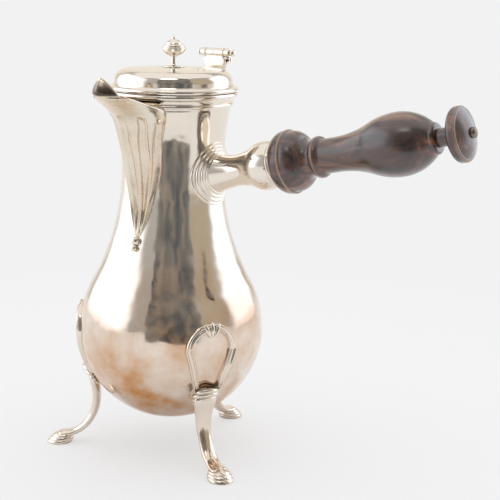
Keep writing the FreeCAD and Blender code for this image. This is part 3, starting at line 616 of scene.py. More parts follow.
class Workshop:
    """Turns shells into named pieces that ride on the CAD bodies."""

    def __init__(self) -> None:
        """Make every finish once."""
        # Hammered sheet: slow waves bend the reflections, and warm tarnish clouds the low belly.
        self.sheet = SilverFinish(
            "Raised silver sheet, planished and polished", stain_and_shade=1.0, above=0.05, wave=0.8, wave_mm=17.0,
            roughness=0.11,
        ).material()
        # Fluted sheet: duller and yellower, so that the flutes read, with painted shade in dark brown on the
        # prow.
        self.beak = SilverFinish(
            "Raised silver sheet, fluted and worn", colour="e9e2d2", stain_and_shade=0.35, above=0.8, wave=0.2,
            wave_mm=8.0, roughness=0.2,
        ).material()
        # Castings: bright ridges with a little tarnish and a fine unevenness from the mould.
        self.cast = SilverFinish(
            "Cast silver, chased and polished", stain_and_shade=0.25, wave=0.12, wave_mm=5.0, roughness=0.13
        ).material()
        # Mouldings: the sharpest reflections, in thin bright lines.
        self.wire = SilverFinish(
            "Drawn silver moulding, polished", stain_and_shade=0.2, wave=0.1, wave_mm=9.0, roughness=0.09
        ).material()
        # End stud: dull grey, barely brighter than the wood round it.
        self.dull = SilverFinish(
            "Cast silver stud, tarnished", colour="8a8078", stain_and_shade=0.0, above=1.0, roughness=0.26
        ).material()
        # Handle: dark streaked wood under a soft wax highlight.
        self.wood = WoodFinish().material()
        # Rod inside the handle: plain grey, seen only when the handle is taken apart.
        self.iron = IronFinish().material()

    def piece(
        self,
        name: str,
        shell: Shell,
        material: Material,
        body: Body,
        stands_for: Sequence[str],
        sharp: float = 40.0,
        wear_and_shade: Optional[Array] = None,
    ) -> None:
        """Make a piece from a shell.

        Args:
            name: The piece's name.
            shell: Its surface.
            material: Its finish.
            body: The body it rides on.
            stands_for: The CAD nodes it replaces.
            sharp: Angle in degrees over which edges stay sharp.
            wear_and_shade: Amount of wear on the wooden pieces, and of painted shade on the spout's prow, at
                each point.
        """
        mesh = bpy.data.meshes.new(name)
        loops = np.concatenate([shell.quads.ravel(), shell.tris.ravel()]).astype(np.int32)
        quads, tris = len(shell.quads), len(shell.tris)
        starts = np.concatenate([np.arange(quads) * 4, quads * 4 + np.arange(tris) * 3]).astype(np.int32)
        mesh.vertices.add(len(shell.points))
        mesh.vertices.foreach_set("co", (shell.points * MM).astype(np.float32).ravel())
        mesh.loops.add(len(loops))
        mesh.loops.foreach_set("vertex_index", loops)
        mesh.polygons.add(len(starts))
        mesh.polygons.foreach_set("loop_start", starts)
        mesh.polygons.foreach_set("use_smooth", np.ones(len(starts), bool))
        mesh.update(calc_edges=True)
        mesh.validate()
        mesh.set_sharp_from_angle(angle=math.radians(sharp))
        # The attribute holds wear on the wood and painted shade on the spout's prow.
        if wear_and_shade is not None:
            mesh.attributes.new("wear_and_shade", "FLOAT", "POINT").data.foreach_set("value", wear_and_shade.astype(np.float32))
        mesh.materials.append(material)
        made = bpy.data.objects.new(name, mesh)
        bpy.context.scene.collection.objects.link(made)
        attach(made, body.value)
        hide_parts(*stands_for)
        log.info("%s: %d points, %d faces", name, len(shell.points), len(starts))

    def silver(
        self,
        name: str,
        shell: Shell,
        body: Body,
        node: str,
        material: Optional[Material] = None,
        sharp: float = 40.0,
    ) -> None:
        """A silver piece that stands for one CAD node."""
        self.piece(name, shell, material or self.wire, body, [node], sharp)

    def ring(self, name: str, corners: Sequence[Corner], body: Body, node: str, cols: int = 160) -> None:
        """A turned ring of moulding wire whose profile has those corners."""
        self.silver(name, turned(outline(corners, closed=True), True, cols), body, node)


# Parts of the pot


@dataclass
class Vessel:
    """The raised vessel: belly sphere, ogee shoulder, waisted neck and flared mouth."""

    wall: float = 1.2
    belly: float = 53.0
    belly_at: float = 73.0
    shoulder: float = 55.0
    neck: float = 29.0
    neck_at: float = 166.0
    mouth: float = 32.4
    mouth_at: float = 209.4
    rim: float = 36.0
    moulding: float = 8.4
    gap: float = 0.05

    def radius(self, height: Array) -> Array:
        """Outer radius of the wall at each height, by the arc that the height falls on.

        Args:
            height: Heights over the table.

        Returns:
            The radii.
        """
        z = np.asarray(height, float)
        drop, rise = self.belly - self.neck, self.neck_at - self.belly_at
        span = bow_radius(rise, drop)
        waist = span - self.shoulder
        flare, climb = self.mouth - self.neck, self.mouth_at - self.moulding - self.neck_at
        lip = bow_radius(climb, flare)
        up = z - self.belly_at
        sphere = np.sqrt(np.clip(self.belly**2 - up**2, 0, None))
        bulge = self.belly - self.shoulder + np.sqrt(np.clip(self.shoulder**2 - up**2, 0, None))
        hollow = self.neck + waist - np.sqrt(np.clip(waist**2 - (self.neck_at - z) ** 2, 0, None))
        flared = self.neck + lip - np.sqrt(lip**2 - np.clip(z - self.neck_at, 0, climb) ** 2)
        join = self.shoulder * rise / span
        return np.select([up <= 0, up <= join, z <= self.neck_at], [sphere, bulge, hollow], flared)

    def build(self, shop: Workshop) -> None:
        """Make the vessel and the moulding soldered round its mouth.

        Args:
            shop: Where pieces are made.
        """
        angle = np.linspace(-math.pi / 2, 0, 50)
        low = columns(self.belly * np.cos(angle), self.belly_at + self.belly * np.sin(angle))
        z = np.linspace(self.belly_at, self.mouth_at, 140)[1:]
        outer = np.vstack([low, columns(self.radius(z), z)])
        slope = ways(outer)
        inner = outer + columns(-slope[:, 1], slope[:, 0]) * self.wall
        inner[0, 0] = 0.0
        inner[-1, 1] = self.mouth_at
        profile = np.vstack([outer, inner[::-1]])
        profile[0, 0] = 0.0
        shop.silver("vessel", turned(profile, cols=200), Body.POT, "body", shop.sheet, 60.0)
        foot, cove, bead = self.mouth_at - self.moulding, self.mouth_at - 5.3, self.mouth_at - 2.4
        ring = [
            (self.mouth + self.gap, foot), (self.mouth + 0.6, foot),
            (self.mouth + 1.0, foot + 0.8, 1.32, LEFT), (self.mouth + 1.0, cove),
            (self.mouth + 1.4, cove, 2.9, RIGHT), (self.rim - 0.2, bead), (self.rim, bead, 1.7, LEFT),
            (self.rim, self.mouth_at), (self.mouth + self.gap, self.mouth_at),
        ]
        shop.ring("mouth_moulding_wire", ring, Body.POT, "mouth_moulding")


@dataclass
class Lid:
    """The flat-crowned lid with its flange, collar, finial, washer and nut."""

    foot: float = 209.8
    radius: float = 33.2
    sheet: float = 1.1
    top: float = 222.7
    shoulder: float = 6.0
    crown: float = 1.3
    rim: float = 36.5
    depth: float = 3.7
    collar: float = 30.2
    collar_sheet: float = 1.0
    collar_drop: float = 2.5
    gap: float = 0.05
    screw: float = 1.4
    washer: float = 6.3
    washer_rise: float = 0.9
    nut: float = 3.4
    nut_height: float = 2.0
    bud_rise: float = 10.4
    tip: float = 240.0

    def build(self, shop: Workshop) -> None:
        """Make every piece of the lid but its hinge leaf.

        Args:
            shop: Where pieces are made.
        """
        self.sheets(shop)
        hole, under, seat = self.screw + self.gap, self.top - self.sheet, self.top + self.gap
        washer = [
            (hole, seat), (self.washer, seat), (self.washer - 0.3, seat + 0.5, 6.3, RIGHT),
            (2.4, seat + self.washer_rise), (hole, seat + self.washer_rise),
        ]
        shop.ring("finial_seat", washer, Body.LID, "finial_washer", 64)
        stem, bud = seat + self.washer_rise + self.gap, self.top + self.bud_rise
        finial = outline(
            [
                (0, under - self.nut_height), (self.screw, under - self.nut_height), (self.screw, stem),
                (2.1, stem, 3.0, RIGHT), (1.5, stem + 1.45), (1.5, bud - 4.9, 1.6, RIGHT),
                (2.6, bud - 4.2), (2.8, bud - 3.9, 5.4, LEFT), (6.6, bud - 0.6, 0.75, LEFT),
                (6.5, bud + 0.6), (5.9, bud + 0.7, 0.8, LEFT), (5.6, bud + 1.9),
                (4.6, bud + 2.0, 4.0, LEFT), (1.8, bud + 4.8), (1.4, bud + 4.9), (0.9, bud + 6.2),
                (0.3, self.tip), (0, self.tip),
            ],
            soften=0.12,
        )
        shop.silver("finial_bud", turned(finial, cols=72), Body.LID, "finial", shop.cast)
        low, high = under - self.nut_height - self.gap, under - 0.07
        nut = [(hole, low), (self.nut, low), (self.nut, high), (hole, high)]
        shop.ring("finial_screw_nut", nut, Body.LID, "finial_nut", 48)

    def sheets(self, shop: Workshop) -> None:
        """Make the cap, the flange round its foot and the collar inside it.

        Args:
            shop: Where pieces are made.
        """
        edge, shelf = self.radius - self.shoulder, self.top - self.crown
        bow = bow_radius(edge, self.crown)
        inside, under = self.radius - self.sheet, self.top - self.sheet
        cap = outline(
            [
                (inside, self.foot), (self.radius, self.foot),
                (self.radius, shelf - self.shoulder, self.shoulder, LEFT), (edge, shelf, bow, LEFT),
                (self.screw + self.gap, self.top), (self.screw + self.gap, under),
                (self.nut, under - 0.02, bow - self.sheet, RIGHT),
                (edge, shelf - self.sheet, self.shoulder - self.sheet, RIGHT),
                (inside, shelf - self.shoulder),
            ],
            closed=True, count=20,
        )
        shop.silver("lid_cap", turned(cap, True, 200), Body.LID, "lid_dome", shop.sheet)
        step = self.foot + self.depth * 0.62
        flange = [
            (self.radius + self.gap, self.foot), (self.rim - 0.5, self.foot, 1.48, LEFT),
            (self.rim - 0.5, step), (self.rim - 1.6, step, self.depth, RIGHT),
            (self.radius + 0.6, self.foot + self.depth),
            (self.radius + self.gap, self.foot + self.depth),
        ]
        shop.ring("lid_flange_wire", flange, Body.LID, "lid_flange")
        low, high = self.foot - self.collar_drop, self.foot + self.collar_sheet
        bezel = [
            (self.collar - self.collar_sheet, low), (self.collar, low), (self.collar, self.foot),
            (inside - self.gap, self.foot), (inside - self.gap, high),
            (self.collar - self.collar_sheet, high),
        ]
        shop.ring("lid_collar", bezel, Body.LID, "lid_bezel")


@dataclass
class Handle:
    """The side handle: escutcheon, socket, ring, wooden grip and knob, and the rod inside.

    Places along the handle are counted from the pot's axis. Foot, waist, bulb and mouth of the socket, and
    cove and belly of the grip, are pairs of radius and place.
    """

    vessel: Vessel
    height: float = 157.9
    tilt: float = 13.0
    plate: float = 17.2
    ledge: float = 1.9
    step: float = 1.0
    steps: int = 4
    foot: tuple = (10.6, 33.0)
    waist: tuple = (8.8, 44.0)
    bulb: tuple = (13.6, 64.0)
    bulb_rounding: float = 12.0
    mouth: tuple = (12.7, 70.6)
    bore: float = 11.25
    throat: float = 7.5
    reed: float = 1.6
    rod: float = 1.9
    anchor: float = 4.0
    tenon_at: float = 61.9
    grip_end: float = 168.2
    cove: tuple = (9.4, 108.5)
    belly: tuple = (16.9, 146.0)
    belly_rounding: float = 40.0
    bead: float = 8.3
    bead_length: float = 2.4
    spigot: float = 4.0
    spigot_length: float = 7.0
    stem: float = 4.9
    knob: float = 14.5
    knob_back: float = 176.4
    knob_face: float = 183.0
    knob_dome: float = 3.4
    stud: float = 2.9
    stud_height: float = 2.5
    gap: float = 0.05
    cols: int = 120

    def lay(self, shell: Shell) -> Shell:
        """Lay a shell that was made along Z on the handle's rising axis."""
        c, s = math.cos(math.radians(90 - self.tilt)), math.sin(math.radians(90 - self.tilt))
        return shell.moved([[c, 0, s], [0, 1, 0], [-s, 0, c]], (0, 0, self.height))

    def meets(self, across: Array, up: Array, outward: Array) -> Array:
        """How far out along the handle a line meets the neck's wall, grown outwards.

        Args:
            across: Sideways distance of each line from the handle's axis.
            up: Its distance above the axis.
            outward: How far the wall is grown.

        Returns:
            Distances along the handle's axis.
        """
        c, s = math.cos(math.radians(self.tilt)), math.sin(math.radians(self.tilt))

        def inside(out: Array) -> Array:
            """Which places along the lines are inside the grown wall."""
            wall = self.vessel.radius(self.height + s * out + c * up) + outward
            return np.hypot(c * out - s * up, across) < wall

        return halved(inside, np.full_like(across, 5.0), np.full_like(across, 70.0))

    def escutcheon(self) -> Shell:
        """Four rounded steps on the neck: height over the wall against distance from the axis.

        Returns:
            The surface.
        """
        knots = [(0.0, 0.0), (self.plate, 0.0)]
        for k in range(self.steps):
            knots.append((self.plate - k * self.ledge, (k + 1) * self.step))
            knots.append((self.plate - (k + 1) * self.ledge, (k + 1) * self.step))
        knots[-1] = (0.0, self.steps * self.step)
        profile = outline(knots, soften=0.42)[1:-1]
        across, up = (np.maximum(profile[:, :1], 0.05) * side for side in ring_of(self.cols).T)
        along = self.meets(across, up, profile[:, 1:] + self.gap)
        return self.lay(Shell.grid(columns(-up, across, along)))

    def socket(self) -> Shell:
        """A trumpet on the escutcheon that swells to a bulb, with its foot trimmed to the wall.

        Returns:
            The surface.
        """
        hollow, join = swell(self.waist, self.bulb, self.bulb_rounding)
        foot_at, waist_at = self.foot[1], self.waist[1]
        corners = [
            (*self.foot, 62.0, RIGHT), (*self.waist, hollow, RIGHT), (*join, self.bulb_rounding, LEFT),
            (*self.bulb, 24.6, LEFT), self.mouth, (self.bore, self.mouth[1]),
            (self.bore, self.bulb[1] - 3.0), (self.throat, waist_at + 6.0), (self.throat, foot_at),
        ]
        profile = outline(corners, soften=0.1, count=24)
        across, up = (profile[:, :1] * side for side in ring_of(self.cols).T)
        trimmed = self.meets(across, up, 0.1 + self.steps * self.step)
        along = profile[:, 1:]
        ease = np.clip((waist_at - along) / (waist_at - foot_at), 0, 1)
        along = along * (1 - ease) + (trimmed + along - foot_at) * ease
        return self.lay(Shell.grid(columns(-up, across, along), wrap_rows=True))

    def grip(self, start: float) -> Shell:
        """The turned grip: tenon, bowl, necking bead, pear and end bead, bored for rod and spigot.

        Args:
            start: Where it starts outside the socket.

        Returns:
            The surface along Z.
        """
        end, hole, tenon = self.grip_end, self.rod + 2 * self.gap, self.bore - self.gap
        hollow, join = swell(self.cove, self.belly, self.belly_rounding)
        nose = bow_radius(end - self.bead_length - self.belly[1], self.belly[0] - self.bead)
        bottom = end - self.spigot_length - self.gap
        corners = [
            (hole, self.tenon_at), (tenon, self.tenon_at), (tenon, start), (15.0, start, 8.0, LEFT),
            (17.3, start + 6.4), (17.6, start + 7.2), (16.5, start + 8.0, 8.4, LEFT),
            (12.0, start + 16.4, 5.2, RIGHT), (self.cove[0], start + 21.6, 3.3, LEFT),
            (self.cove[0], start + 27.6), (*self.cove, hollow, RIGHT), (*join, self.belly_rounding, LEFT),
            (*self.belly, nose, LEFT), (self.bead, end - self.bead_length, 1.6, LEFT),
            (self.bead - 1.4, end - 0.2), (self.spigot + self.gap, end), (self.spigot + self.gap, bottom),
            (hole, bottom),
        ]
        return turned(outline(corners, soften=0.3, closed=True, count=24), True, 140)

    def end_knob(self) -> Shell:
        """The turned knob: spigot, stem and a disc with a domed face, bored for the rod.

        Returns:
            The surface along Z.
        """
        end, rim, face, back = self.grip_end, self.knob, self.knob_face, self.knob_back
        hole, bottom = self.rod + 2 * self.gap, end - self.spigot_length
        corners = [
            (hole, bottom), (self.spigot, bottom), (self.spigot, end + self.gap),
            (self.stem, end + self.gap), (self.stem, back - 1.0, 2.0, RIGHT), (self.stem + 2.2, back),
            (rim - 1.4, back + 1.2, 2.6, LEFT), (rim, back + 3.2), (rim, face - 1.2, 1.6, LEFT),
            (rim - 1.2, face), (rim - 1.6, face, bow_radius(rim - 1.6, self.knob_dome), LEFT),
            (self.stud, face + self.knob_dome), (hole, face + self.knob_dome),
        ]
        return turned(outline(corners, soften=0.25, closed=True, count=20), True, self.cols)

    def end_stud(self, foot: float) -> Shell:
        """A domed stud: from a flat foot up a short wall and a quarter oval to the pole.

        Args:
            foot: Where it starts along the handle.

        Returns:
            The surface along Z.
        """
        wall = 1.0
        angle = np.linspace(0, math.pi / 2, 14)
        rise = wall + (self.stud_height - wall) * np.sin(angle)
        dome = columns(self.stud * np.cos(angle), foot + rise)
        edge = [[0, foot], [self.stud - 0.2, foot], [self.stud, foot + 0.2]]
        return turned(np.vstack([edge, dome]), cols=40)

    def build(self, shop: Workshop) -> None:
        """Make every piece of the handle.

        Args:
            shop: Where pieces are made.
        """
        shop.silver("handle_plate", self.escutcheon(), Body.POT, "handle_escutcheon", shop.cast, 70.0)
        shop.silver("handle_trumpet", self.socket(), Body.POT, "handle_socket", shop.sheet, 50.0)
        edge = self.mouth[0]
        reeds = [self.mouth[1] + self.gap + k * self.reed for k in range(3)]
        rounds = [(edge, place, self.reed * 0.62, LEFT) for place in reeds[:2]]
        corners = [(self.bore, reeds[0]), *rounds, (edge, reeds[2]), (self.bore, reeds[2])]
        ring = outline(corners, closed=True)
        shop.silver("handle_reeds", self.lay(turned(ring, True, 96)), Body.POT, "handle_ring")
        near = self.waist[1]
        hole, edge, far = self.rod + self.gap, self.throat - self.gap, near + self.anchor
        anchor = outline([(hole, near), (edge, near), (edge, far), (hole, far)], closed=True)
        shop.silver("handle_rod_anchor", self.lay(turned(anchor, True, 64)), Body.POT, "handle_anchor")

        start = reeds[2] + self.gap
        grip = self.grip(start)
        along = grip.points[:, 2] - start
        ridges = 0.75 * bell(along, 7.2, 0.45) + 0.35 * bell(along, 24.6, 0.5)
        knob = self.end_knob()
        outside = np.hypot(knob.points[:, 0], knob.points[:, 1]) > self.knob - 1.5
        edges = 0.4 * bell(knob.points[:, 2], self.knob_face - 0.6, 0.6) * outside
        for name, shell, wear_and_shade in (("handle_grip", grip, ridges), ("handle_knob", knob, edges)):
            shop.piece(name + "_wood", self.lay(shell), shop.wood, Body.POT, [name], 45.0, wear_and_shade)

        head = self.knob_face + self.knob_dome
        far = head + self.stud_height * 0.6
        places = [near, near, near + 0.1, far - 0.1, far, far]
        rod = columns([0, self.rod, self.rod, self.rod, self.rod, 0], places)
        core = self.lay(turned(rod, cols=32))
        shop.piece("handle_draw_rod", core, shop.iron, Body.POT, ["handle_rod"])
        stud = self.lay(self.end_stud(head + self.gap))
        shop.silver("handle_end_stud", stud, Body.POT, "handle_stud", shop.dull)


@dataclass
class Spout:
    """The open beak: a fluted bow on the neck that flares into an upturned lip.

    levels are heights over the mouth, with the half width and the reach before the neck's wall at each.
    lip gives the height of the lip's line at distances from the pot's axis. Each flute has its place round
    the bow, from 0 at the keel to 1 at the wall, and the height of its top. flute_half is its half width at
    the top and the growth of it over flute_taper.
    """

    vessel: Vessel
    wall: float = 1.5
    levels: tuple = (-78.4, -70.4, -62.4, -49.4, -33.4, -22.4, -10.4, -3.4, 1.1, 5.1, 10.2)
    halves: tuple = (1.4, 4.6, 6.6, 9.3, 11.5, 12.9, 15.2, 15.0, 14.0, 12.0, 8.0)
    reaches: tuple = (0.9, 2.6, 4.2, 7.6, 11.6, 14.4, 18.6, 29.6, 36.6, 37.6, 34.6)
    bluff_level: float = -8.0
    bluff_rise: float = 8.0
    lip: tuple = ((0.0, 198.8), (32.4, 202.0), (59.5, 209.8), (62.9, 211.8), (67.0, 219.6))
    flute_tops: tuple = ((0.0, 200.0), (0.43, 198.5), (0.79, 195.0))
    flute_foot: float = 133.0
    flute_fade: float = 12.0
    flute_depth: float = 1.6
    flute_edge: float = 0.4
    flute_half: tuple = (0.075, 0.055)
    flute_taper: float = 26.0
    flute_round: float = 2.6
    border: float = 0.4
    border_top: float = 199.0
    prow_at: float = 210.4
    fold: float = 0.7
    fold_ridge: float = 0.3
    fold_width: float = 0.6
    drop_length: float = 8.16
    rows: int = 170
    cols: int = 241

    def half(self, z: Array) -> Array:
        """Half width of the bow."""
        return Spline(self.levels, self.halves)(z - self.vessel.mouth_at)

    def bow(self, z: Array, turn: Array, inset: Array) -> Array:
        """Points of the bow before the wall: a half ellipse below that turns into a bluff prow above.

        Sideways it goes with the sine of the angle, forwards with (1 - |sine|^a)^b. Towards the lip a falls
        from 2 to 1.5 and b from 0.5 to 0.3, so that a soft keel stands between two cheeks.

        Args:
            z: Height of each point.
            turn: Angle round the bow, 0 at the keel and a quarter turn at the wall.
            inset: How far the surface lies inside the outer one.

        Returns:
            The points.
        """
        level = z - self.vessel.mouth_at
        half = self.half(z) - inset
        wall = self.vessel.radius(np.minimum(z, self.vessel.mouth_at))
        front = wall + Spline(self.levels, self.reaches)(level) - inset
        root = np.sqrt(np.maximum(wall**2 - half**2, 1.0))
        bluff = np.clip((level - self.bluff_level) / self.bluff_rise, 0, 1)
        bluff = bluff**2 * (3 - 2 * bluff)
        side = np.abs(np.sin(turn))
        ahead = np.clip(1 - side ** (2.0 - 0.5 * bluff), 0, 1) ** (0.5 - 0.2 * bluff)
        return columns(half * np.sin(turn), -(root + (front - root) * ahead), z)

    def relief(self, z: Array, turn: Array) -> Array:
        """Depth of the chasing: round-topped flutes with raised edges, a border, and a fold under the prow.

        Across a flute the depth goes with (1 - d^2)^0.8, where d is the distance from its middle line over
        its half width, and the edge is a small bell curve just outside d = 1.

        Args:
            z: Heights.
            turn: Angles round the bow.

        Returns:
            Depths.
        """
        round_bow = np.abs(turn) / (math.pi / 2)
        depth = np.zeros_like(z)
        narrow, growth = self.flute_half
        for middle, top in self.flute_tops:
            half = narrow + growth * np.clip((top - z) / self.flute_taper, 0, 1)
            end = np.clip((z - top + self.flute_round) / self.flute_round, 0, None)
            away = np.hypot((round_bow - middle) / half, end)
            depth += self.flute_depth * np.clip(1 - away**2, 0, 1) ** 0.8
            depth -= self.flute_edge * bell(away, 1.2, 0.2)
        fade = np.clip((z - self.flute_foot) / self.flute_fade, 0, 1)
        border = self.border * bell(round_bow, 0.96, 0.03) * np.clip((self.border_top - z) / 6, 0, 1)
        fold = self.fold * bell(z, self.prow_at, self.fold_width)
        fold -= self.fold_ridge * bell(z, self.prow_at - 1.5, self.fold_width)
        return depth * fade - border + fold

    def shell(self) -> Shell:
        """Outer and inner skins between the foot and the lip line, closed round the lip.

        Returns:
            The surface.
        """
        spread = np.linspace(-1, 1, self.cols)
        turn = np.sign(spread) * (1 - (1 - np.abs(spread)) ** 1.15) * math.pi / 2
        floor = np.full_like(turn, self.vessel.mouth_at + self.levels[0])
        line = Spline(*zip(*self.lip))

        def under(z: Array) -> Array:
            """Which points of the bow lie under the lip's line."""
            return z < line(np.clip(-self.bow(z, turn, 0 * z)[:, 1], 0, self.lip[-1][0]))

        top = halved(under, floor, np.full_like(turn, self.vessel.mouth_at + self.levels[-1]))
        z = floor + (top - floor) * np.linspace(0, 1, self.rows)[:, None]
        turns = np.broadcast_to(turn, z.shape)
        outer = self.bow(z, turns, self.relief(z, turns))
        inner = self.bow(z, turns, np.minimum(self.wall, self.half(z) * 0.9))
        t = np.linspace(0, math.pi, 9)[1:-1, None, None]
        crown = outer[-1] * (1 + np.cos(t)) / 2 + inner[-1] * (1 - np.cos(t)) / 2
        crown = crown + np.array([0, 0, self.wall / 2]) * np.sin(t)
        return self.closed_sheet(np.concatenate([outer, crown, inner[::-1]], 0))

    def stain_and_shade(self, beak: Shell) -> Array:
        """How much painted shade darkens the outside of the prow: full at its fold, less towards the tip,
        none along the rim.

        Args:
            beak: The surface, row by row.

        Returns:
            Amount at each point.
        """
        above = beak.points[:, 2] - self.prow_at
        share = (np.clip(above / 0.8, 0, 1) * (1.0 - 0.065 * above)).reshape(-1, self.cols)
        share[self.rows - 2 :] = 0.0
        return share.ravel()

    @staticmethod
    def closed_sheet(sheet: Array) -> Shell:
        """Close a folded sheet along its foot and along both long sides.

        Args:
            sheet: Rows that run up the outside and down the inside.

        Returns:
            The surface.
        """
        rows, cols = sheet.shape[:2]
        index = np.arange(rows * cols).reshape(rows, cols)
        quads = columns(index[:-1, :-1], index[:-1, 1:], index[1:, 1:], index[1:, :-1]).reshape(-1, 4)
        half = rows // 2
        up, down = index[:half], index[::-1][:half]
        foot = columns(index[0, 1:], index[0, :-1], index[-1, :-1], index[-1, 1:])
        left = columns(up[:-1, 0], up[1:, 0], down[1:, 0], down[:-1, 0])
        right = columns(up[1:, -1], up[:-1, -1], down[:-1, -1], down[1:, -1])
        faces = np.vstack([quads, foot, left, right])
        return Shell(sheet.reshape(-1, 3), faces, np.zeros((0, 3), int)).outward()

    def drop(self) -> Shell:
        """Two beads on a stalk down the neck's slope.

        Returns:
            The surface.
        """
        top = self.vessel.mouth_at + self.levels[0]
        bottom = top - self.drop_length
        lower = np.array([0, -(float(self.vessel.radius(bottom)) + 1.52), bottom])
        upper = np.array([0, -(float(self.vessel.radius(top)) + 0.95), top])
        length = np.linalg.norm(upper - lower)
        beads = [(0.5, 0.05, 1.9, LEFT), (0.9, 3.5), (1.0, 3.6, 2.75, LEFT), (1.0, length - 0.2)]
        profile = outline([(0, 0)] + beads + [(0, length)], soften=0.1)
        lean = math.atan2(upper[1] - lower[1], upper[2] - lower[2])
        c, s = math.cos(lean), math.sin(lean)
        return turned(profile, cols=48).moved([[1, 0, 0], [0, c, s], [0, -s, c]], lower)

    def build(self, shop: Workshop) -> None:
        """Make the beak and the beads under its point.

        Args:
            shop: Where pieces are made.
        """
        beak = self.shell()
        # The prow's outside gets painted shade, carried in the same attribute as the wood's wear.
        shop.piece("spout_beak", beak, shop.beak, Body.POT, ["spout"], 50.0, self.stain_and_shade(beak))
        shop.silver("spout_beads", self.drop(), Body.POT, "spout_drop", shop.cast)


@dataclass
class Hinge:
    """The lid's hinge: lobed knuckles on a ball-ended pin, a leaf and a strap.

    The paths of the bent plates hold (Y, Z, half width).
    """

    reach: float = 43.5
    height: float = 229.0
    radius: float = 2.65
    middle: float = 6.1
    outer: tuple = (6.4, 9.7)
    pin: float = 1.1
    ball: float = 2.1
    ball_at: float = 11.2
    ball_half: float = 1.7
    leaf: tuple = (
        (33.4, 215.2, 5.6), (36.5, 215.0, 5.6), (40.2, 215.6, 5.6), (42.1, 218.4, 5.9),
        (42.3, 222.0, 6.9), (42.3, 225.0, 7.1), (42.35, 226.2, 6.1), (42.4, 228.5, 6.0),
    )
    leaf_sheet: float = 1.5
    strap: tuple = (
        (36.2, 206.0, 5.2), (39.5, 205.9, 5.2), (43.6, 207.4, 5.2), (45.1, 212.0, 5.2),
        (45.1, 219.0, 5.2), (45.1, 222.5, 6.5), (45.1, 225.2, 9.5),
    )
    arm: tuple = ((45.1, 224.0, 1.6), (45.0, 226.5, 1.6), (44.6, 228.6, 1.6))
    strap_sheet: float = 1.7

    def about_pin(self, profile: Array) -> Shell:
        """Turn a profile about the pin's axis."""
        along_x = [[0, 0, 1], [0, 1, 0], [-1, 0, 0]]
        return turned(profile, cols=48).moved(along_x, (0, self.reach, self.height))

    def lobes(self, start: float, end: float, count: int) -> Shell:
        """A knuckle of rounded lobes side by side.

        Args:
            start: Where it starts along the pin.
            end: Where it ends.
            count: Number of lobes.

        Returns:
            The surface.
        """
        at = np.linspace(0, 1, 20 * count + 1)
        swelling = np.abs(np.sin(math.pi * at * count)) ** 0.4
        radius = self.radius * (0.95 + 0.05 * swelling)
        middle = columns(radius, start + (end - start) * at)
        return self.about_pin(np.vstack([[[0, start]], middle, [[0, end]]]))

    @staticmethod
    def plate(knots: Sequence[Sequence[float]], thickness: float) -> Shell:
        """A bent plate: a rounded bar section carried along a side-view path, with its width at each knot.

        Args:
            knots: Points of (Y, Z, half width).
            thickness: The plate's thickness.

        Returns:
            The surface.
        """
        line = along_curve(knots, 60)
        path = columns(0.0, line[:, 0], line[:, 1])
        across = np.tile([1.0, 0, 0], (len(path), 1))
        out = np.cross(ways(path), across)
        return swept(path, across, out, line[:, 2], np.full(len(path), thickness / 2), super_loop(6.0, 56))

    def build(self, shop: Workshop) -> None:
        """Make the leaf, the strap and the pin.

        Args:
            shop: Where pieces are made.
        """
        leaf = [self.plate(self.leaf, self.leaf_sheet), self.lobes(-self.middle, self.middle, 2)]
        shop.silver("lid_hinge_leaf", Shell.joined(leaf), Body.LID, "lid_leaf", shop.cast)
        near, far = self.outer
        strap = [self.plate(self.strap, self.strap_sheet)]
        for side in (-1, 1):
            arm = self.plate(self.arm, self.strap_sheet)
            strap.append(arm.moved(np.eye(3), (side * (near + far) / 2, 0, 0)))
        strap += [self.lobes(near, far, 1), self.lobes(-far, -near, 1)]
        shop.silver("pot_hinge_strap", Shell.joined(strap), Body.POT, "hinge_strap", shop.cast)
        angle = np.linspace(math.pi, 0, 20)[1:-1]
        ball = columns(self.ball * np.sin(angle), self.ball_at + self.ball_half * np.cos(angle))
        tip = self.ball_at + self.ball_half
        shank = [[self.pin, -far - 0.05], [self.pin, far + 0.05]]
        pin = np.vstack([[[0, -tip]], ball[::-1] * [1, -1], shank, ball, [[0, tip]]])
        shop.silver("hinge_ball_pin", self.about_pin(pin), Body.POT, "hinge_pin", shop.cast)


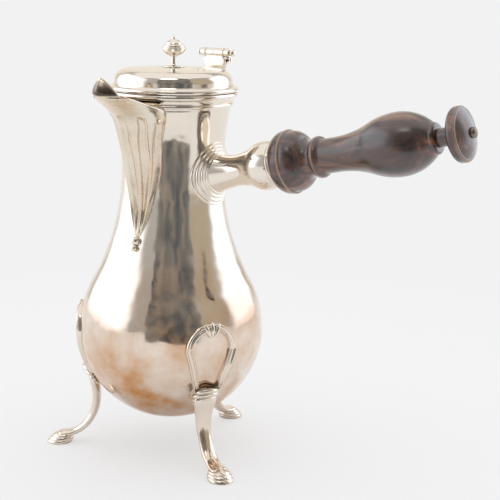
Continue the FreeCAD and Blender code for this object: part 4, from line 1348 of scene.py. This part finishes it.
@dataclass
class Foot:
    """One cast foot: cartouche loop, fan, collar, cabriole leg and ridged toe. Local X points outwards.

    Each roll of the collar has its height, half length and thickness. leg_shares are places along the leg,
    from its root to the toe, with the half width and half depth at each.
    """

    vessel: Vessel
    half: float = 15.6
    centre: float = 70.8
    low: float = 45.0
    low_half: float = 6.6
    band: float = 4.7
    over: float = 0.1
    fan_from: float = 76.0
    fan_leans: tuple = (-24.0, 0.0, 24.0)
    fan_start: float = 2.6
    fan_length: float = 8.4
    fan_over: float = 1.5
    rolls: tuple = ((47.4, 6.8, 1.4), (44.8, 7.6, 1.6), (42.0, 7.0, 1.4), (39.6, 6.2, 1.1))
    roll_droop: float = 1.6
    roll_over: float = 2.2
    roll_bulge: float = 2.3
    root_at: float = 43.0
    ankle_at: float = 29.0
    leg_reach: float = 63.6
    leg_low: float = 5.456
    leg_shares: tuple = (0, 0.05, 0.12, 0.3, 0.55, 0.8, 0.93, 1)
    leg_widths: tuple = (3.0, 6.4, 7.0, 5.2, 3.9, 4.3, 4.9, 5.0)
    leg_depths: tuple = (1.2, 2.4, 3.0, 2.8, 2.3, 2.1, 2.035, 2.0)
    toe_at: float = 66.2
    toe_half: tuple = (7.4, 7.2)
    toe_height: float = 7.6
    toe_lean: float = 4.4
    toe_ridges: int = 3

    def on_belly(self, across: Array, up: Array, outward: float) -> Array:
        """Points over the belly's wall at sideways and upward places."""
        radius = self.vessel.radius(up) + outward
        return columns(np.sqrt(np.maximum(radius**2 - across**2, 0)), across, up)

    def loop(self) -> Shell:
        """A horseshoe band with a raised bead along each edge, widening to a cusp under the fan.

        Returns:
            The surface.
        """
        inset = self.band / 2
        wide, narrow = self.half - inset, self.low_half - inset * 0.5
        angle = np.linspace(math.pi, 0, 70)
        arch = columns(wide * np.cos(angle), self.centre + wide * np.sin(angle))
        t = np.linspace(0, 1, 30)[:-1, None]
        left = np.array([[-narrow, self.low]]) * (1 - t) + arch[:1] * t
        flat = np.vstack([left, arch, left[::-1] * [-1, 1]])
        x, z = flat.T
        path = self.on_belly(x, z, self.over)
        nudge = 0.05
        aside = self.on_belly(x + nudge, z, self.over) - path
        above = self.on_belly(x, z + nudge, self.over) - path
        out = unit(np.cross(aside, above))
        across = unit(np.cross(out, ways(path)))
        s = np.linspace(1, -1, 25)
        crest = (1.0 + 1.1 * bell(s, 0.62, 0.24) + 1.3 * bell(s, -0.62, 0.24)) * (1 - np.abs(s) ** 14)
        section = np.vstack([columns(s, crest), [[-1, -0.2], [1, -0.2]]])
        cusp = bell(x, 0.0, 3.2) * (z > self.centre)
        count = np.arange(len(flat))
        ends = np.clip(np.minimum(count, count[::-1]) / 14, 0, 1)
        width = inset * (1 + 0.45 * cusp) * (0.5 + 0.5 * ends)
        shift = across * (-inset * 0.35 * cusp)[:, None]
        return swept(path + shift, across, out, width, np.ones(len(path)), section)

    def fan(self) -> list:
        """Three teardrop flutes over the arch.

        Returns:
            The surfaces.
        """
        drops = []
        t = np.linspace(0, 1, 18)
        reach = self.fan_start + self.fan_length * t
        swelling = np.sin(math.pi * np.clip(t, 0.02, 0.98)) ** 0.6 * (0.7 + 0.6 * t)
        for lean in np.radians(self.fan_leans):
            up = self.fan_from + reach * math.cos(lean)
            path = self.on_belly(reach * math.sin(lean), up, self.fan_over)
            way = ways(path)
            across = unit(np.cross(way, np.array([1.0, 0, 0])))
            out = np.cross(across, way)
            drops.append(swept(path, across, out, 1.25 * swelling, 1.3 * swelling, super_loop(2.0, 20)))
        return drops

    def collar(self) -> list:
        """Rolls folded over the knuckle.

        Returns:
            The surfaces.
        """
        made = []
        t = np.linspace(-1, 1, 40)
        for height, half, thick in self.rolls:
            path = self.on_belly(half * t, height - self.roll_droop * t**2, self.roll_over)
            path[:, 0] += self.roll_bulge * (1 - t**2)
            way = ways(path)
            out = unit(np.cross(way, np.array([0, 0, 1.0])))
            size = thick * (1 - np.abs(t) ** 6 * 0.8)
            made.append(swept(path, np.cross(out, way), out, size, size * 1.05, super_loop(2.0, 24)))
        return made

    def leg(self) -> Shell:
        """An oval section along a straight ankle and a quarter oval out to the toe.

        Returns:
            The surface.
        """
        root = float(self.vessel.radius(self.root_at))
        run, fall = self.leg_reach - root, self.ankle_at - self.leg_low
        turn = np.radians(np.linspace(0, 90, 60))
        bend = columns(root + run * (1 - np.cos(turn)), 0.0, self.ankle_at - fall * np.sin(turn))
        knee = [(root + 1.4, 0, 45.0), (root + 2.0, 0, 42.0), (root + 0.9, 0, 37.5), (root, 0, 31.0)]
        ankle = along_curve(knee + [bend[0]], 40)[:-1]
        tail = bend[-1] + np.linspace([0.5, 0, -0.1], [3.0, 0, -1.6], 6)
        path = np.vstack([ankle, bend, tail])
        across = np.tile([0, 1.0, 0], (len(path), 1))
        out = np.cross(across, ways(path))
        t = np.linspace(0, 1, len(path))
        smooth = np.ones(9) / 9
        width, depth = (
            np.convolve(np.pad(np.interp(t, self.leg_shares, sizes), 4, "edge"), smooth, "valid")
            for sizes in (self.leg_widths, self.leg_depths)
        )
        return swept(path, across, out, width, depth, super_loop(2.0, 48))

    def toe(self) -> Shell:
        """A flat-bottomed pad: ovals that shrink to a dome and step back with height, with rounded ridges.

        Returns:
            The surface.
        """
        ridged = 0.8
        t = np.linspace(0, 0.995, 90)
        wave = np.abs(np.sin(math.pi * self.toe_ridges * np.clip(t / ridged, 0, 1))) ** 0.5
        size = (1 - t**2.4) ** 0.55 * (1 + 0.05 * (wave - 1) * (t < ridged))
        size[0] = 0.95
        ovals = size[:, None, None] * ring_of(72) * self.toe_half
        x = (self.toe_at - self.toe_lean * t)[:, None] + ovals[..., 0]
        return Shell.grid(columns(x, ovals[..., 1], self.toe_height * t[:, None]))

    def build(self, shop: Workshop) -> None:
        """Make three feet from one cast.

        Args:
            shop: Where pieces are made.
        """
        cast = Shell.joined([self.loop(), self.leg(), self.toe()] + self.fan() + self.collar())
        for name, turn in (("right", -30.0), ("rear", 90.0), ("left", -150.0)):
            foot = cast.moved(turn_z(turn))
            shop.silver("cast_foot_" + name, foot, Body.POT, "foot_" + name, shop.cast, 45.0)


# Stage


@dataclass(frozen=True)
class Panel:
    """A glowing panel round the pot that shows only in reflections.

    Its azimuth is counted from the camera, seen from above, positive to the right. Distance from the pot's
    axis, height of its middle, size, and ragged, how far its edge wanders, are in metres. edge is the share
    of the half size from which it fades, and deep is a second colour in clouds.
    """

    name: str
    azimuth: float
    distance: float
    height: float
    size: tuple
    colour: str
    strength: float
    edge: float = 0.55
    ragged: float = 0.0
    deep: str = ""

    def material(self) -> Material:
        """Light that fades out towards the panel's edges: soft-edged bright and dark zones on the silver.

        Returns:
            The material.
        """
        n = Nodes(bpy.data.materials.new(self.name))
        spot = n.place()
        place = n.add("ShaderNodeSeparateXYZ", {0: spot})
        cloud = n.noise(spot, 7.0, 3.0)
        torn = n.maths("MULTIPLY_ADD", cloud, self.ragged, -0.5 * self.ragged)
        fades = []
        for axis in (0, 1):
            away = n.maths("ADD", n.maths("ABSOLUTE", place.outputs[axis]), torn)
            half = self.size[axis] / 2
            fades.append(n.spread(away, half, self.edge * half, kind="SMOOTHSTEP"))
        stops = [(0.38, linear(self.deep or self.colour)), (0.62, linear(self.colour))]
        glow = {"Color": n.ramp(cloud, stops), "Strength": self.strength}
        lit = n.add("ShaderNodeEmission", glow).outputs[0]
        clear = n.add("ShaderNodeBsdfTransparent").outputs[0]
        return n.done("ShaderNodeMixShader", {0: n.maths("MULTIPLY", *fades), 1: clear, 2: lit})


# What the silver mirrors: two bright softboxes, a pale and a warm wall, a dim room and a small window.
PANELS = (
    Panel("left softbox", -98.0, 1.1, 0.62, (2.3, 1.5), "f6f8ff", 1.8),
    Panel("right softbox", 110.0, 1.1, 0.62, (1.4, 1.5), "f3f6ff", 1.8),
    Panel("pale wall behind the pot", 180.0, 2.4, 0.9, (4.0, 2.2), "f1eade", 1.05),
    Panel("warm wall beside the camera", 58.0, 0.9, 0.6, (0.8, 1.2), "d6c7b2", 0.75),
    Panel("dark room behind the camera", 3.0, 0.5, 0.5, (0.7, 1.14), "9d958c", 1.0, 0.9, 0.16, "5b6066"),
    Panel("high window", -12.0, 0.42, 0.74, (0.34, 0.26), "ffffff", 3.0),
)


@dataclass
class Studio:
    """Pale floor, soft lights and the camera of the photograph.

    From floor_near to floor_far, in metres, the share of the backdrop's even light on the floor grows from
    floor_share to one.
    """

    camera_at: tuple = (0.0, -788.72, 278.35)
    turn: float = 35.0
    pitch: float = -0.2002
    yaw: float = 0.057
    roll: float = 0.0202
    focal_px: float = 1393.4
    picture_px: float = 500.0
    sensor: float = 36.0
    floor: str = "e9eaed"
    floor_near: float = 0.12
    floor_far: float = 0.6
    floor_share: float = 0.6
    backdrop: str = "f2f2f2"
    sky: str = "e8e6e4"
    sky_diffuse: float = 1.2
    sky_glossy: float = 0.62
    lamp_at: tuple = (-0.2, 0.1, 1.6)
    lamp_size: float = 2.4
    lamp_power: float = 9.0

    def camera(self) -> None:
        """Set the camera at the fitted place and angle."""
        level = math.cos(self.pitch)
        ahead = np.array([math.sin(self.yaw) * level, math.cos(self.yaw) * level, math.sin(self.pitch)])
        right = np.array([math.cos(self.yaw), -math.sin(self.yaw), 0.0])
        up = np.cross(right, ahead)
        c, s = math.cos(self.roll), math.sin(self.roll)
        axes = np.stack([c * right + s * up, c * up - s * right, -ahead], 1)
        matrix = np.eye(4)
        matrix[:3, :3] = turn_z(self.turn) @ axes
        matrix[:3, 3] = turn_z(self.turn) @ np.array(self.camera_at) * MM
        data = bpy.data.cameras.new("camera")
        data.sensor_width = self.sensor
        data.lens = self.focal_px * self.sensor / self.picture_px
        made = bpy.data.objects.new("camera", data)
        made.matrix_world = Matrix(matrix.tolist())
        bpy.context.scene.collection.objects.link(made)
        bpy.context.scene.camera = made

    @staticmethod
    def plane(
        name: str,
        centre: Sequence[float],
        size: Sequence[float],
        facing: Sequence[float],
        material: Material,
    ) -> bpy.types.Object:
        """A stage rectangle.

        Args:
            name: Its name.
            centre: Its middle, in metres.
            size: Width and height, in metres.
            facing: Direction that it faces.
            material: Its material.

        Returns:
            The object.
        """
        mesh = bpy.data.meshes.new(name)
        w, h = size[0] / 2, size[1] / 2
        mesh.from_pydata([(-w, -h, 0), (w, -h, 0), (w, h, 0), (-w, h, 0)], [], [(0, 1, 2, 3)])
        mesh.materials.append(material)
        made = bpy.data.objects.new(name, mesh)
        made.location = centre
        made.rotation_euler = Vector(facing).to_track_quat("Z", "Y").to_euler()
        bpy.context.scene.collection.objects.link(made)
        return made

    def hang(self, panel: Panel) -> None:
        """Hang a panel so that only reflections show it.

        Args:
            panel: The panel.
        """
        a = math.radians(self.turn + panel.azimuth)
        way = Vector((math.sin(a), -math.cos(a), 0.0))
        centre = way * panel.distance + Vector((0, 0, panel.height))
        made = self.plane(panel.name, centre, panel.size, -way, panel.material())
        made.visible_camera = False
        made.visible_shadow = False
        made.visible_diffuse = False

    def table(self) -> Material:
        """Matt white with soft shadows near the pot, which runs out into the even backdrop further off.

        Returns:
            The material.
        """
        n = Nodes(bpy.data.materials.new("Pale table top"))
        away = n.add("ShaderNodeVectorMath", {0: n.place()}, operation="LENGTH").outputs["Value"]
        far = n.spread(away, self.floor_near, self.floor_far, self.floor_share, 1.0, "SMOOTHSTEP")
        share = n.maths("MULTIPLY", far, n.add("ShaderNodeLightPath").outputs["Is Camera Ray"])
        matt = n.add("ShaderNodeBsdfDiffuse", {"Color": linear(self.floor)}).outputs[0]
        pale = n.add("ShaderNodeEmission", {"Color": linear(self.backdrop)}).outputs[0]
        return n.done("ShaderNodeMixShader", {0: share, 1: matt, 2: pale})

    def world(self) -> bpy.types.World:
        """The backdrop for the camera, and an even light that is weaker in reflections.

        Returns:
            The world.
        """
        n = Nodes(bpy.data.worlds.new("studio"))
        path = n.add("ShaderNodeLightPath").outputs
        power = n.spread(path["Is Glossy Ray"], 0.0, 1.0, self.sky_diffuse, self.sky_glossy)
        lit = n.add("ShaderNodeBackground", {0: linear(self.sky), 1: power}).outputs[0]
        seen = n.add("ShaderNodeBackground", {0: linear(self.backdrop)}).outputs[0]
        shares = {0: path["Is Camera Ray"], 1: lit, 2: seen}
        return n.done("ShaderNodeMixShader", shares, "ShaderNodeOutputWorld")

    def build(self) -> None:
        """Make the camera, the floor, the surroundings and the lights."""
        self.camera()
        self.plane("floor", (0, 0, 0), (30, 30), (0, 0, 1), self.table())
        bpy.context.scene.world = self.world()
        for panel in PANELS:
            self.hang(panel)
        lamp = bpy.data.lights.new("overhead softbox", "AREA")
        lamp.shape, lamp.energy = "RECTANGLE", self.lamp_power
        lamp.size = lamp.size_y = self.lamp_size
        made = bpy.data.objects.new("overhead softbox", lamp)
        made.location = self.lamp_at
        bpy.context.scene.collection.objects.link(made)
        bpy.context.scene.view_settings.view_transform = "Standard"


def main() -> None:
    """Build the looks round the CAD frame."""
    logging.basicConfig(level=logging.INFO, format="%(message)s")
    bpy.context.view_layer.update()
    shop = Workshop()
    vessel = Vessel()
    vessel.build(shop)
    Lid().build(shop)
    Handle(vessel).build(shop)
    Spout(vessel).build(shop)
    Hinge().build(shop)
    Foot(vessel).build(shop)
    Studio().build()


if __name__ == "__main__":
    main()
